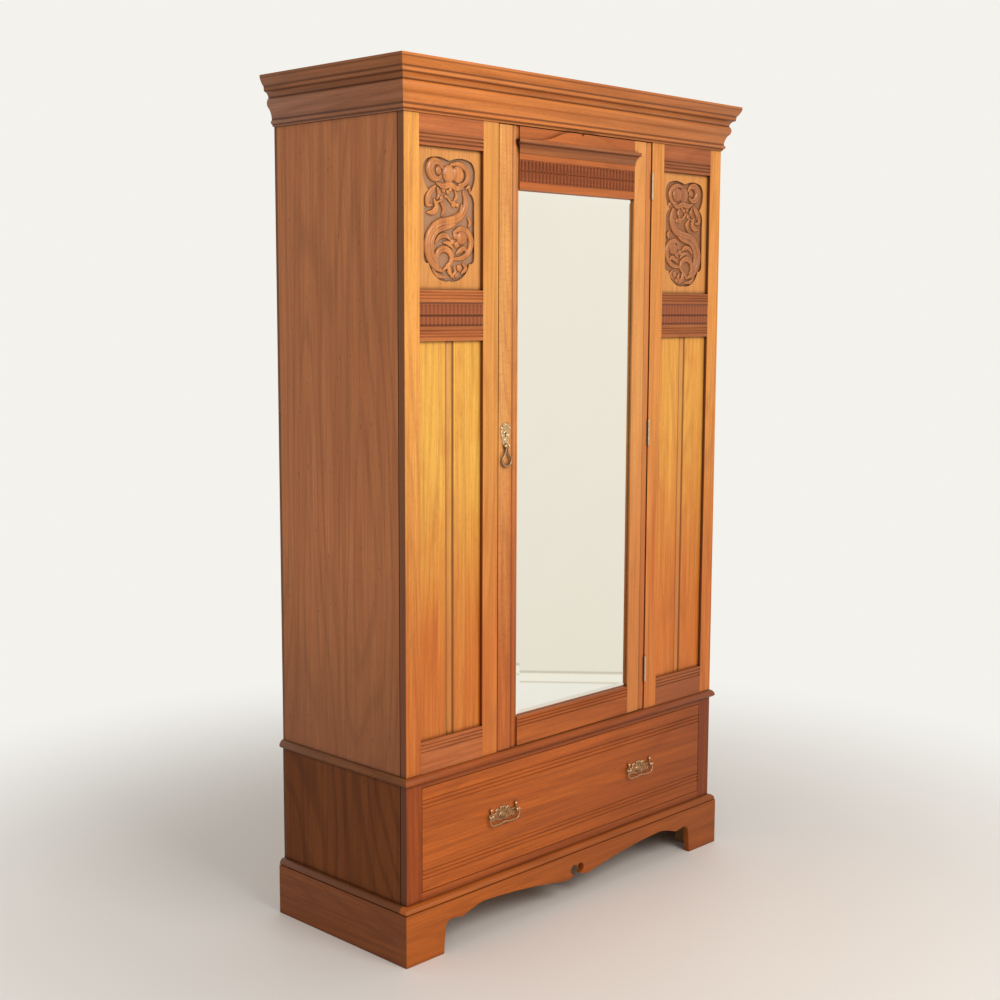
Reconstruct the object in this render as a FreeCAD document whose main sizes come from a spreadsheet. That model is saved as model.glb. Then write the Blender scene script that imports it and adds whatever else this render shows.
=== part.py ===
# Wardrobe with a mirror door and one long drawer, in millimetres.
# The origin is on the floor under the middle of the whole piece. +X is to the right of someone who
# faces the front, +Y runs to the back and +Z is up.

import FreeCAD, Part
import Sketcher
import math
import os
import re

doc = FreeCAD.newDocument("wardrobe")
dims = doc.addObject("Spreadsheet::Sheet", "dims")

# Driving dimensions: each one is a cell of the sheet, found by its alias
SIZES = {
    # the whole
    "case_width": 1156,
    "case_depth": 456,
    "total_height": 2050,
    "base_height": 445,
    "plinth_height": 140,
    "cornice_height": 116,
    "overrun": 5,
    # cornice
    "crown_overhang": 39.5,
    "crown_backing": 4,
    "frieze_height": 65,
    "frieze_projection": 19.4,
    "frieze_thickness": 18,
    "cornice_block": 45,
    "cornice_block_height": 60,
    # boards of the upper case
    "side_thickness": 20,
    "case_board_thickness": 20,
    "back_thickness": 11,
    "back_board_count": 8,
    "tongue_depth": 5,
    "tongue_thickness": 4,
    "tongue_clearance": 0.3,
    # frame and panels of the side bays
    "frame_thickness": 22,
    "outer_stile_width": 46,
    "bay_width": 199.5,
    "inner_stile_width": 50,
    "quirk": 2,
    "top_rail_height": 68,
    "carved_panel_height": 315,
    "fluted_rail_height": 114,
    "bottom_rail_height": 75,
    "panel_setback": 9,
    "panel_thickness": 9,
    "panel_groove": 7,
    "reeds_in_set": 3,
    "reed_margin": 8.5,
    "reed_pitch": 8.2,
    "reed_width": 4,
    "reed_depth": 2.2,
    "flute_pitch": 12.4,
    "flute_width": 8,
    "flute_depth": 3.2,
    "flute_band": 48,
    "frieze_reed_margin": 5.5,
    "frieze_reed_pitch": 6.8,
    "cartouche_width": 158,
    "cartouche_height": 275,
    "cartouche_depth": 4.5,
    "board_bead": 18,
    # mirror door
    "door_gap": 2,
    "door_thickness": 21,
    "door_stile_width": 68.5,
    "door_head_height": 145,
    "door_foot_height": 72,
    "closing_bead": 13,
    "hinge_bead": 20,
    "sight_fillet": 8,
    "sight_fillet_depth": 4,
    "ledge_drop": 30,
    "ledge_height": 31,
    "ledge_projection": 12.3,
    "head_strip": 14,
    "head_frieze_height": 52,
    "head_frieze_thickness": 6,
    "head_frieze_setback": 1,
    "head_flute_band": 46,
    "tablet_width": 350,
    "tablet_height": 28,
    "tablet_thickness": 10,
    "mirror_setback": 7.5,
    "mirror_thickness": 5,
    "mirror_rebate": 8,
    "mirror_play": 0.5,
    "mirror_bevel": 14,
    "mirror_bevel_depth": 2,
    "mirror_back_thickness": 6,
    # butt hinges of the door
    "hinge_length": 68,
    "hinge_leaf": 0.9,
    "hinge_leaf_width": 18,
    "hinge_end_drop": 108,
    "knuckle_radius": 2.5,
    "knuckle_stand": 2.8,
    "knuckle_gap": 0.3,
    "hinge_pin_radius": 1.2,
    "pin_clearance": 0.05,
    # lock, escutcheon and drop pull
    "key_height": 770,
    "key_inset": 23,
    "lock_width": 48,
    "lock_height": 62,
    "lock_thickness": 12,
    "bolt_width": 16,
    "bolt_thickness": 6.5,
    "bolt_length": 34,
    "bolt_clearance": 0.4,
    "mortise_depth": 11,
    "strike_height": 42,
    "strike_width": 12,
    "strike_thickness": 1.2,
    "escutcheon_width": 33,
    "escutcheon_height": 55,
    "escutcheon_foot": 30,
    "escutcheon_thickness": 2,
    "key_hole_radius": 2.8,
    "key_slot_width": 2.8,
    "key_slot_length": 9,
    "lug_drop": 29,
    "lug_length": 3,
    "lug_radius": 3.4,
    "drop_stand": 6,
    "drop_eye_length": 8,
    "drop_eye_radius": 3,
    "drop_eye_gap": 0.3,
    "drop_pin_radius": 1.4,
    "drop_length": 50.5,
    "drop_width": 35,
    "drop_thickness": 4.4,
    # hanging rail
    "rail_radius": 11,
    "rail_drop": 120,
    "socket_radius": 20,
    "socket_thickness": 14,
    "socket_depth": 9,
    "socket_clearance": 0.05,
    # base
    "waist_height": 21,
    "waist_projection": 11.2,
    "base_stile_width": 48,
    "drawer_rail_height": 12,
    "drawer_rail_depth": 60,
    "lower_rail_reveal": 20,
    "lower_rail_height": 60,
    "base_rise": 40,
    "runner_width": 60,
    "runner_thickness": 20,
    "guide_height": 40,
    "glue_block": 42,
    "glue_block_height": 96,
    "glue_block_rise": 4,
    # plinth
    "plinth_projection": 16.5,
    "plinth_cap_height": 16,
    "plinth_cap_projection": 15,
    "foot_width": 119.5,
    "apron_rise": 92.5,
    # drawer
    "drawer_gap": 1.5,
    "drawer_front_thickness": 22,
    "drawer_side_thickness": 12,
    "drawer_side_drop": 16.7,
    "drawer_back_space": 33,
    "drawer_back_thickness": 12,
    "drawer_back_drop": 8,
    "drawer_bottom_thickness": 6,
    "drawer_bottom_rise": 12,
    "drawer_groove": 5,
    "drawer_reed_margin": 30,
    "drawer_reed_pitch": 9.6,
    "run_clearance": 0.3,
    "tail_count": 5,
    "tail_length": 15,
    "tail_clearance": 0.1,
    # drawer handles
    "handle_spread": 262,
    "handle_width": 96,
    "handle_height": 36,
    "handle_thickness": 2.4,
    "boss_width": 23,
    "boss_height": 13,
    "boss_depth": 4,
    "ear_spread": 43,
    "ear_rise": 4,
    "ear_radius": 4,
    "ear_length": 13,
    "ear_bore_stand": 9,
    "finial_radius": 3.6,
    "finial_neck_radius": 2.2,
    "finial_rise": 15,
    "finial_stand": 4.5,
    "bail_radius": 2,
    "bail_spread": 50.3,
    "bail_drop": 23,
    "bail_corner": 12,
    "bail_bow": 2.5,
    "bail_bow_half": 16,
    "bail_eye_radius": 2.8,
    "bail_pin_radius": 1.6,
    "bail_pin_length": 11.3,
}
for row, (alias, size) in enumerate(SIZES.items(), 1):
    dims.set(f"A{row}", alias)
    dims.set(f"B{row}", str(size))
    dims.setAlias(f"B{row}", alias)
doc.recompute()

# Shares of sizes, chosen by hand. A profile runs from its foot to its top as (outward, upward) shares,
# and a pair of points in one entry is an arc: a point on it and its end.
frieze_shares = [(0.13, 0), (0.23, 0.08), ((0.44, 0.155), (0.27, 0.23)), (0.27, 0.28),
                 ((0.39, 0.455), (0.63, 0.61)), ((0.99, 0.815), (0.76, 1))]
crown_shares = [(0, 0), (0.30, 0), ((0.37, 0.14), (0.51, 0.245)), (0.66, 0.285), (0.69, 0.49),
                ((0.87, 0.66), (1, 0.89)), (1, 1), (0, 1)]
waist_shares = [(0, 0), (0.14, 0), ((0.654, 0.0815), (1, 0.3)), ((0.66, 0.76), (0.05, 1)), (0, 1)]
plinth_cap_shares = [(0, 0), (0.83, 0), (0.83, 0.16), (1, 0.16), ((0.77, 0.72), (0.1, 1)), (0, 1)]
ledge_shares = [(0, 0), (0.12, 0), (0.12, 0.1), ((0.36, 0.5), (0.85, 0.72)), (1, 0.72), (1, 1), (0, 1)]
# Half outlines from the lower point on the middle line to the upper one, as shares of half the width
# and of the height.
cartouche_shares = [(0, 0), ((0.53, 0.033), (0.81, 0.145)), ((0.96, 0.155), (1, 0.185)), (1, 0.65),
                    ((0.95, 0.69), (0.82, 0.725)), ((0.98, 0.795), (1.03, 0.875)),
                    ((0.99, 0.935), (0.86, 0.975)), ((0.5, 0.995), (0.13, 0.98)), (0, 0.97)]
tablet_shares = [(0, 0), (1, 0), (1, 0.05), ((0.72, 0.2), (0.5, 0.62)), ((0.35, 0.9), (0.17, 1)),
                 (0.04, 1), (0, 0.78)]
apron_shares = [(1, 0), (0.99, 0.62), ((0.975, 0.8), (0.935, 0.855)), (0.868, 0.806),
                ((0.795, 0.925), (0.727, 1)), ((0.42, 0.885), (0.1, 0.63)), (0.075, 0.63),
                ((0.05, 0.66), (0.021, 0.72)), ((0.052, 0.86), (0.03, 1)), ((0.01, 0.98), (0, 0.9))]
escutcheon_shares = [(0, 0), (0.45, 0.04), (0.6, 0.17), (0.76, 0.36), (0.93, 0.48), (0.98, 0.6),
                     (0.9, 0.73), (1, 0.79), (0.96, 0.85), (0.76, 0.87), (0.58, 0.83), (0.62, 0.9),
                     (0.49, 0.95), (0.26, 0.93), (0.2, 0.99), (0, 1)]
handle_shares = [(0, 0.03), (0.29, 0), (0.58, 0.1), (0.71, 0.04), (0.84, 0.1), (0.9, 0.28), (1, 0.39),
                 (0.98, 0.55), (0.86, 0.62), (0.56, 0.62), (0.55, 0.79), (0.46, 0.9), (0.33, 0.91),
                 (0.23, 0.8), (0.2, 0.95), (0.11, 1), (0, 1)]
drop_outer_shares = [(0, -1), (0.39, -0.99), (0.72, -0.92), (0.94, -0.81), (1, -0.68), (0.89, -0.55),
                     (0.63, -0.45), (0.3, -0.25), (0.17, -0.02), (0, 0)]
drop_inner_shares = [(0, -0.9), (0.33, -0.88), (0.6, -0.81), (0.71, -0.7), (0.65, -0.59), (0.42, -0.5),
                     (0, -0.26)]
boss_shares = [(0.2, -1), (0.56, -0.83), (0.83, -0.56), (1, -0.2), (1, 0.2), (0.83, 0.56), (0.56, 0.83),
               (0.2, 1)]
boss_crown_share = 0.62
eighth_share = 0.4142
ear_flat_share = 0.62
# The bow in a bail's lower bar, as shares of its half length and its rise, and a point at 45 degrees.
bow_shares = [(0, 1), (0.28, 0.86), (0.72, 0.14), (1, 0)]
slant_share = 0.7071
key_shoulder_share = 0.8
boss_height_share = 0.4
tail_root_share = 0.5
tail_tip_share = 0.68


# Expressions: a word that is an alias is read from the sheet
def bound(expression):
    return re.sub(r"[a-z]\w*", lambda word: "dims." + word[0] if word[0] in SIZES else word[0], expression)


def value(expression):
    return float(dims.evalExpression(bound(expression)))


def bind(thing, prop, expression):
    thing.setExpression(prop, bound(expression))


# Outlines: lists of corners, each a pair of expressions, with arcs as in the tables above
def is_arc(step):
    return isinstance(step[0], tuple)


def each_point(outline, change):
    return [tuple(change(p) for p in step) if is_arc(step) else change(step) for step in outline]


def scaled(shares, width, height):
    return each_point(shares, lambda p: (f"{p[0]} * ({width})", f"{p[1]} * ({height})"))


def flipped(outline):
    return each_point(outline, lambda p: (f"-({p[0]})", p[1]))


def backwards(outline):
    points = [step[1] if is_arc(step) else step for step in outline]
    turned = [points[-1]]
    for index in range(len(outline) - 1, 0, -1):
        step = outline[index]
        turned.append((step[0], points[index - 1]) if is_arc(step) else points[index - 1])
    return turned


def both_sides(half):
    left = backwards(flipped(half))
    on_axis = abs(value(left[0][0])) < 1e-9
    return half + (left[1:] if on_axis else left)


def corner_position(sketch, shape, place, expression_pair):
    for kind, expression in zip(("DistanceX", "DistanceY"), expression_pair):
        index = sketch.addConstraint(Sketcher.Constraint(kind, -1, 1, shape, place, value(expression)))
        bind(sketch, f"Constraints[{index}]", expression)


def vector(pair):
    return FreeCAD.Vector(value(pair[0]), value(pair[1]), 0)


# An anticlockwise arc through three points, and which of its ends is the one it is drawn from
def arc_through(start, middle, end):
    onward = (middle - start).cross(end - middle).z > 0
    first, last = (start, end) if onward else (end, start)
    round_these = Part.Circle(start, middle, end)
    centre = round_these.Center
    circle = Part.Circle(centre, FreeCAD.Vector(0, 0, 1), round_these.Radius)
    first_angle = math.atan2(first.y - centre.y, first.x - centre.x)
    last_angle = math.atan2(last.y - centre.y, last.x - centre.x)
    if last_angle < first_angle:
        last_angle += 2 * math.pi
    return Part.ArcOfCircle(circle, first_angle, last_angle), 1 if onward else 2


# An outline in a sketch, with every corner bound to its expressions
def draw(sketch, outline, closed=True):
    steps = outline[1:]
    last_corner = steps[-1][1] if is_arc(steps[-1]) else steps[-1]
    if closed and not vector(last_corner).isEqual(vector(outline[0]), 1e-6):
        steps = steps + [outline[0]]
    here = outline[0]
    links = []
    for step in steps:
        start_place = 1
        if is_arc(step):
            middle, end = step
            arc, start_place = arc_through(vector(here), vector(middle), vector(end))
            shape = sketch.addGeometry(arc)
            point = sketch.addGeometry(Part.Point(vector(middle)), True)
            corner_position(sketch, point, 1, middle)
            sketch.addConstraint(Sketcher.Constraint("PointOnObject", point, 1, shape))
        else:
            end = step
            shape = sketch.addGeometry(Part.LineSegment(vector(here), vector(end)))
        corner_position(sketch, shape, start_place, here)
        links.append((shape, start_place))
        here = end
    followers = links[1:] + links[:1] if closed else links[1:]
    for (shape, start_place), (follower, follower_start) in zip(links, followers):
        end_place = 3 - start_place
        sketch.addConstraint(Sketcher.Constraint("Coincident", shape, end_place, follower, follower_start))
    if not closed:
        corner_position(sketch, links[-1][0], 3 - links[-1][1], here)


def draw_circle(sketch, x, y, radius):
    centre = FreeCAD.Vector(value(x), value(y), 0)
    shape = sketch.addGeometry(Part.Circle(centre, FreeCAD.Vector(0, 0, 1), value(radius)))
    corner_position(sketch, shape, 3, (x, y))
    index = sketch.addConstraint(Sketcher.Constraint("Radius", shape, value(radius)))
    bind(sketch, f"Constraints[{index}]", radius)


def rectangle(x_low, y_low, x_high, y_high):
    return [(x_low, y_low), (x_high, y_low), (x_high, y_high), (x_low, y_high)]


# A square of the given half width with its corners cut off, eight-sided when the share is left alone
def eight_sided(x, y, half, share=eighth_share):
    flat = f"{share} * {half}"
    right = [(flat, f"-{half}"), (half, f"-{flat}"), (half, flat), (flat, half)]
    return each_point(both_sides(right), lambda p: (f"{x} + {p[0]}", f"{y} + {p[1]}"))


# Solids
def place(thing, x, y, z):
    for axis, expression in zip("xyz", (x, y, z)):
        bind(thing, f"Placement.Base.{axis}", expression)


def board(label, x, y, z):
    box = doc.addObject("Part::Box", label)
    box.Label = label
    for side, (low, high) in zip(("Length", "Width", "Height"), (x, y, z)):
        bind(box, side, f"({high}) - ({low})")
    place(box, x[0], y[0], z[0])
    return box


def body(label, x, y, z):
    made = doc.addObject("PartDesign::Body", label)
    made.Label = label
    place(made, x, y, z)
    return made


# A sketch on one of the body's own planes: XY looks down, XZ looks from the front with depth towards
# -Y, YZ looks along the width with depth towards +X
def sketch_on(part, plane, offset="0"):
    sketch = part.newObject("Sketcher::SketchObject", part.Name + "_sketch")
    origin_plane = [p for p in part.Origin.OriginFeatures if p.Role == plane + "_Plane"][0]
    sketch.AttachmentSupport = [(origin_plane, "")]
    sketch.MapMode = "FlatFace"
    bind(sketch, "AttachmentOffset.Base.z", offset)
    return sketch


def outlined(part, plane, outlines, offset="0"):
    sketch = sketch_on(part, plane, offset)
    for outline in outlines:
        draw(sketch, outline)
    return sketch


def feature(part, kind, sketch, length, side="One side", turned=False):
    made = part.newObject("PartDesign::" + kind, part.Name + "_" + kind.lower())
    made.Profile = sketch
    made.SideType = side
    made.Reversed = turned
    if length == "through":
        made.Type = "ThroughAll"
    else:
        bind(made, "Length", length)
    return made


def pad(part, plane, outlines, length, side="One side", turned=False, offset="0"):
    return feature(part, "Pad", outlined(part, plane, outlines, offset), length, side, turned)


def pocket(part, plane, outlines, length, side="One side", turned=False, offset="0"):
    return feature(part, "Pocket", outlined(part, plane, outlines, offset), length, side, turned)


def round_pad(part, plane, circles, length, side="One side", turned=False, offset="0", kind="Pad"):
    sketch = sketch_on(part, plane, offset)
    for circle in circles:
        draw_circle(sketch, *circle)
    return feature(part, kind, sketch, length, side, turned)


def row_of(part, seed, axis, step, count):
    pattern = part.newObject("PartDesign::LinearPattern", part.Name + "_row")
    pattern.Originals = [seed]
    pattern.Direction = (seed.Profile[0], [axis])
    pattern.Mode = "Spacing"
    bind(pattern, "Offset", step)
    bind(pattern, "Occurrences", count)
    part.Tip = pattern
    return pattern


def mirrored(label, source):
    copy = doc.addObject("Part::Mirroring", label)
    copy.Label = label
    copy.Source = source
    copy.Normal = FreeCAD.Vector(1, 0, 0)
    return copy


def group(label, members):
    made = doc.addObject("Part::Compound", label)
    made.Label = label
    made.Links = members
    return made


def pair(label, left):
    return group(label, [left, mirrored(label + "_right", left)])


def boolean(label, kind, base, tool):
    made = doc.addObject("Part::" + kind, label)
    made.Label = label
    made.Base = base
    made.Tool = tool
    return made


# Main planes and heights
HALF = "(case_width / 2)"
FRONT = "((crown_overhang - case_depth) / 2)"
BACK = "((crown_overhang + case_depth) / 2)"
CASE_TOP = "(total_height - cornice_height)"
CASE_HEIGHT = "(total_height - cornice_height - base_height)"
FRAME_BACK = f"({FRONT} + frame_thickness)"
BACK_INSIDE = f"({BACK} - back_thickness)"
BAY_LEFT = f"(outer_stile_width - {HALF})"
DOOR_OPENING = f"({HALF} - outer_stile_width - bay_width - inner_stile_width)"
DOOR_HALF = f"({DOOR_OPENING} - door_gap)"
DOOR_FOOT = "(base_height + door_gap)"
DOOR_HEIGHT = f"({CASE_HEIGHT} - 2 * door_gap)"
SIGHT_HALF = f"({DOOR_HALF} - door_stile_width)"
SIGHT_HEIGHT = f"({DOOR_HEIGHT} - door_head_height - door_foot_height)"
BASE_TOP = "(base_height - waist_height)"
nodes = []


def node(thing):
    nodes.append(thing)
    return thing


# A moulding that runs along the front, mitred at both ends: its section has outward sizes towards -Y
def front_moulding(label, section, reach, inner, foot):
    part = body(label, "0", FRONT, foot)
    pad(part, "YZ", [flipped(section)], f"case_width + 2 * {reach}", "Symmetric")
    tip = (f"{HALF} + {reach} + overrun", f"-{reach} - overrun")
    heel = (f"{HALF} - {inner} - overrun", f"{inner} + overrun")
    waste = [tip, (tip[0], heel[1]), heel]
    pocket(part, "XY", [waste, flipped(waste)], "through", "Symmetric")
    return part


# The return of the same moulding along the left side, mitred at its front end
def return_moulding(label, section, reach, inner, foot):
    part = body(label, f"-{HALF}", BACK, foot)
    pad(part, "XZ", [flipped(section)], f"case_depth + {reach}")
    tip = (f"-{reach} - overrun", f"-case_depth - {reach} - overrun")
    heel = (f"{inner} + overrun", f"-case_depth + {inner} + overrun")
    pocket(part, "XY", [[tip, (heel[0], tip[1]), heel]], "through", "Symmetric")
    return part


def moulding(name, section, reach, inner, foot):
    node(front_moulding(name + "_front", section, reach, inner, foot))
    node(pair(name + "_returns", return_moulding(name + "_return_left", section, reach, inner, foot)))


# Cornice: frieze boards with an astragal, crown moulding planted on them, back rail, corner blocks
CROWN_HEIGHT = "(cornice_height - frieze_height)"
CROWN_WIDTH = "(crown_overhang - crown_backing)"
frieze_section = [("-frieze_thickness", "0")] + scaled(frieze_shares, "frieze_projection", "frieze_height")
frieze_section += [("crown_backing", "frieze_height"), ("crown_backing", "cornice_height"),
                   ("-frieze_thickness", "cornice_height")]
moulding("frieze", frieze_section, "frieze_projection", "frieze_thickness", CASE_TOP)
crown_section = each_point(scaled(crown_shares, CROWN_WIDTH, CROWN_HEIGHT),
                           lambda p: (f"crown_backing + {p[0]}", f"frieze_height + {p[1]}"))
moulding("crown", crown_section, "crown_overhang", "0", CASE_TOP)
FRAME_INSIDE = f"({HALF} - frieze_thickness)"
node(board("cornice_back_rail", (f"-{FRAME_INSIDE}", FRAME_INSIDE), (f"{BACK} - frieze_thickness", BACK),
           (CASE_TOP, "total_height")))


def corner_block(name, y_low, y_high, size, bottom, top, inside):
    return board(name, (f"-{inside}", f"{size} - {inside}"), (y_low, y_high), (bottom, top))


block_top = f"{CASE_TOP} + cornice_block_height"
front_inside = f"{FRONT} + frieze_thickness"
back_inside = f"{BACK} - frieze_thickness"
front_block = corner_block("cornice_block_front", front_inside, f"{front_inside} + cornice_block",
                           "cornice_block", CASE_TOP, block_top, FRAME_INSIDE)
back_block = corner_block("cornice_block_back", f"{back_inside} - cornice_block", back_inside,
                          "cornice_block", CASE_TOP, block_top, FRAME_INSIDE)
node(group("cornice_blocks", [front_block, back_block, mirrored("cornice_block_front_right", front_block),
                              mirrored("cornice_block_back_right", back_block)]))

# Upper case: sides, top and floor boards, and tongued and grooved back boards
INSIDE = f"({HALF} - side_thickness)"
side_board = board("side_left", (f"-{HALF}", f"-{INSIDE}"), (FRAME_BACK, BACK_INSIDE),
                   ("base_height", CASE_TOP))
node(side_board)
node(mirrored("side_right", side_board))
node(board("case_top", (f"-{INSIDE}", INSIDE), (FRAME_BACK, BACK_INSIDE),
           (f"{CASE_TOP} - case_board_thickness", CASE_TOP)))
node(board("case_floor", (f"-{INSIDE}", INSIDE), (FRAME_BACK, BACK_INSIDE),
           ("base_height", "base_height + case_board_thickness")))


def back_board(index, count):
    width = "(case_width / back_board_count)"
    part = body(f"back_board_{index}", f"{index} * {width} - {HALF}", BACK_INSIDE, "base_height")
    middle = "(back_thickness / 2)"
    tongue = [("0", f"{middle} + tongue_thickness / 2"),
              ("tongue_depth", f"{middle} + tongue_thickness / 2"),
              ("tongue_depth", f"{middle} - tongue_thickness / 2"),
              ("0", f"{middle} - tongue_thickness / 2")]
    groove_width = "(tongue_thickness / 2 + tongue_clearance)"
    groove = [("0", f"{middle} + {groove_width}"),
              ("tongue_depth + tongue_clearance", f"{middle} + {groove_width}"),
              ("tongue_depth + tongue_clearance", f"{middle} - {groove_width}"),
              ("0", f"{middle} - {groove_width}")]
    right = [(width, "0")]
    if index < count - 1:
        right += [(f"{width} + {x}", y) for x, y in reversed(tongue)]
    right += [(width, "back_thickness - quirk"), (f"{width} - quirk", "back_thickness")]
    left = [("quirk", "back_thickness"), ("0", "back_thickness - quirk")]
    left += (groove if index > 0 else []) + [("0", "0")]
    pad(part, "XY", [right + left], CASE_HEIGHT)
    return part


board_count = int(value("back_board_count"))
node(group("back_boards", [back_board(index, board_count) for index in range(board_count)]))

# Stiles of the side bays: grooved for the panels, with a quirk where the outer one meets the side
PANEL_BACK = "(panel_setback + panel_thickness)"
outer_stile = body("outer_stile_left", f"-{HALF}", FRONT, "base_height")
pad(outer_stile, "XY", [[
    ("0", "0"), ("outer_stile_width", "0"), ("outer_stile_width", "panel_setback"),
    ("outer_stile_width - panel_groove", "panel_setback"), ("outer_stile_width - panel_groove", PANEL_BACK),
    ("outer_stile_width", PANEL_BACK), ("outer_stile_width", "frame_thickness"),
    ("quirk", "frame_thickness"), ("quirk", "frame_thickness - quirk"), ("0", "frame_thickness - quirk")]],
    CASE_HEIGHT)
node(pair("outer_stiles", outer_stile))

inner_stile = body("inner_stile_blank", f"{BAY_LEFT} + bay_width", FRONT, "base_height")
pad(inner_stile, "XY", [[
    ("0", "0"), ("inner_stile_width", "0"), ("inner_stile_width", "frame_thickness"),
    ("0", "frame_thickness"), ("0", PANEL_BACK), ("panel_groove", PANEL_BACK),
    ("panel_groove", "panel_setback"), ("0", "panel_setback")]], CASE_HEIGHT)
node(mirrored("inner_stile_right", inner_stile))


reed_count = int(value("reeds_in_set"))


# Front face of a rail, from its lower edge up, with a V cut at each height that is given
def reeded_face(heights, height, depth="reed_depth", face="0"):
    line = [(face, "0")]
    for middle in heights:
        line += [(face, f"{middle} - reed_width / 2"), (f"{face} + {depth}", middle),
                 (face, f"{middle} + reed_width / 2")]
    return line + [(face, height)]


def reeds_up_from(edge, margin, pitch):
    return [f"{edge} + {margin} + {step} * {pitch}" for step in range(reed_count)]


def reeds_down_from(edge, margin, pitch):
    return [f"{edge} - {margin} - {step} * {pitch}" for step in reversed(range(reed_count))]


# A rail of a side bay: grooved for the panel above and below, with stub tenons in the stiles' grooves
def bay_rail(label, foot, height, heights, groove_below, groove_above):
    part = body(label, BAY_LEFT, FRONT, foot)
    section = reeded_face(heights, height)
    if groove_above:
        section += [("panel_setback", height), ("panel_setback", f"{height} - panel_groove"),
                    (PANEL_BACK, f"{height} - panel_groove"), (PANEL_BACK, height)]
    section += [("frame_thickness", height), ("frame_thickness", "0")]
    if groove_below:
        section += [(PANEL_BACK, "0"), (PANEL_BACK, "panel_groove"), ("panel_setback", "panel_groove"),
                    ("panel_setback", "0")]
    pad(part, "YZ", [section], "bay_width")
    low = "panel_groove" if groove_below else "0"
    high = f"{height} - panel_groove" if groove_above else height
    tenon = pad(part, "YZ", [rectangle("panel_setback", low, PANEL_BACK, high)], "bay_width + panel_groove",
                "Two sides")
    bind(tenon, "Length2", "panel_groove")
    return part


# A row of upright V flutes in the front of a rail, spread evenly about its middle
def flute(part, face, foot, band, width):
    count = f"floor({width} / flute_pitch)"
    first = f"({width} - ({count} - 1) * flute_pitch) / 2"
    notch = [(f"{first} - flute_width / 2", f"{face} - overrun"),
             (f"{first} + flute_width / 2", f"{face} - overrun"),
             (f"{first} + flute_width / 2", face), (first, f"{face} + flute_depth"),
             (f"{first} - flute_width / 2", face)]
    seed = pocket(part, "XY", [notch], band, turned=True, offset=foot)
    row_of(part, seed, "H_Axis", "flute_pitch", count)


# Side bays: reeded top rail, carved panel, fluted rail, two lower boards and reeded bottom rail
BOTTOM_RAIL_TOP = "(base_height + bottom_rail_height)"
TOP_RAIL_FOOT = f"({CASE_TOP} - top_rail_height)"
FLUTED_TOP = f"({TOP_RAIL_FOOT} - carved_panel_height)"
FLUTED_FOOT = f"({FLUTED_TOP} - fluted_rail_height)"
node(pair("top_rails", bay_rail("top_rail_left", TOP_RAIL_FOOT, "top_rail_height",
                                reeds_up_from("0", "reed_margin", "reed_pitch"), True, False)))
node(pair("bottom_rails", bay_rail("bottom_rail_left", "base_height", "bottom_rail_height",
                                   reeds_down_from("bottom_rail_height", "reed_margin", "reed_pitch"),
                                   False, True)))
band_middle = "fluted_rail_height / 2"
fluted_cuts = reeds_up_from("0", "frieze_reed_margin + reed_width", "frieze_reed_pitch")
fluted_cuts += [band_middle]
fluted_cuts += reeds_down_from("fluted_rail_height", "frieze_reed_margin", "frieze_reed_pitch")
fluted_rail = bay_rail("fluted_rail_left", FLUTED_FOOT, "fluted_rail_height", fluted_cuts, True, True)
flute(fluted_rail, "0", f"{band_middle} - flute_band / 2", "flute_band", "bay_width")
node(pair("fluted_rails", fluted_rail))

PANEL_WIDTH = "(bay_width + 2 * panel_groove)"
carved_panel = body("carved_panel_left", f"{BAY_LEFT} - panel_groove", f"{FRONT} + panel_setback",
                    f"{FLUTED_TOP} - panel_groove")
CARVED_HEIGHT = "(carved_panel_height + 2 * panel_groove)"
pad(carved_panel, "XZ", [rectangle("0", "0", PANEL_WIDTH, CARVED_HEIGHT)], "panel_thickness", turned=True)
cartouche = both_sides(scaled(cartouche_shares, "cartouche_width / 2", "cartouche_height"))
cartouche_foot = f"({CARVED_HEIGHT} - cartouche_height) / 2"
pocket(carved_panel, "XZ",
       [each_point(cartouche, lambda p: (f"{PANEL_WIDTH} / 2 + {p[0]}", f"{cartouche_foot} + {p[1]}"))],
       "cartouche_depth")
node(carved_panel)
node(mirrored("carved_panel_right", carved_panel))

LOWER_HEIGHT = f"({FLUTED_FOOT} - {BOTTOM_RAIL_TOP} + 2 * panel_groove)"
beaded_width = f"({PANEL_WIDTH} / 2 + board_bead / 2)"
plain_width = f"({PANEL_WIDTH} - {beaded_width})"
beaded_board = body("lower_board_beaded", f"{BAY_LEFT} - panel_groove", f"{FRONT} + panel_setback",
                    f"{BOTTOM_RAIL_TOP} - panel_groove")
pad(beaded_board, "XY", [[
    ("0", "0"), (f"{beaded_width} - board_bead - reed_width", "0"),
    (f"{beaded_width} - board_bead", "reed_depth"),
    ((f"{beaded_width} - board_bead / 2", "0"), (beaded_width, "reed_depth")),
    (beaded_width, "panel_thickness"), ("0", "panel_thickness")]], LOWER_HEIGHT)
plain_board = body("lower_board_plain", f"{BAY_LEFT} - panel_groove + {beaded_width}",
                   f"{FRONT} + panel_setback", f"{BOTTOM_RAIL_TOP} - panel_groove")
pad(plain_board, "XY", [[
    ("0", "reed_depth"), ("reed_width", "0"), (plain_width, "0"), (plain_width, "panel_thickness"),
    ("0", "panel_thickness")]], LOWER_HEIGHT)
node(group("lower_boards", [beaded_board, plain_board, mirrored("lower_board_beaded_right", beaded_board),
                            mirrored("lower_board_plain_right", plain_board)]))

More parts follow.
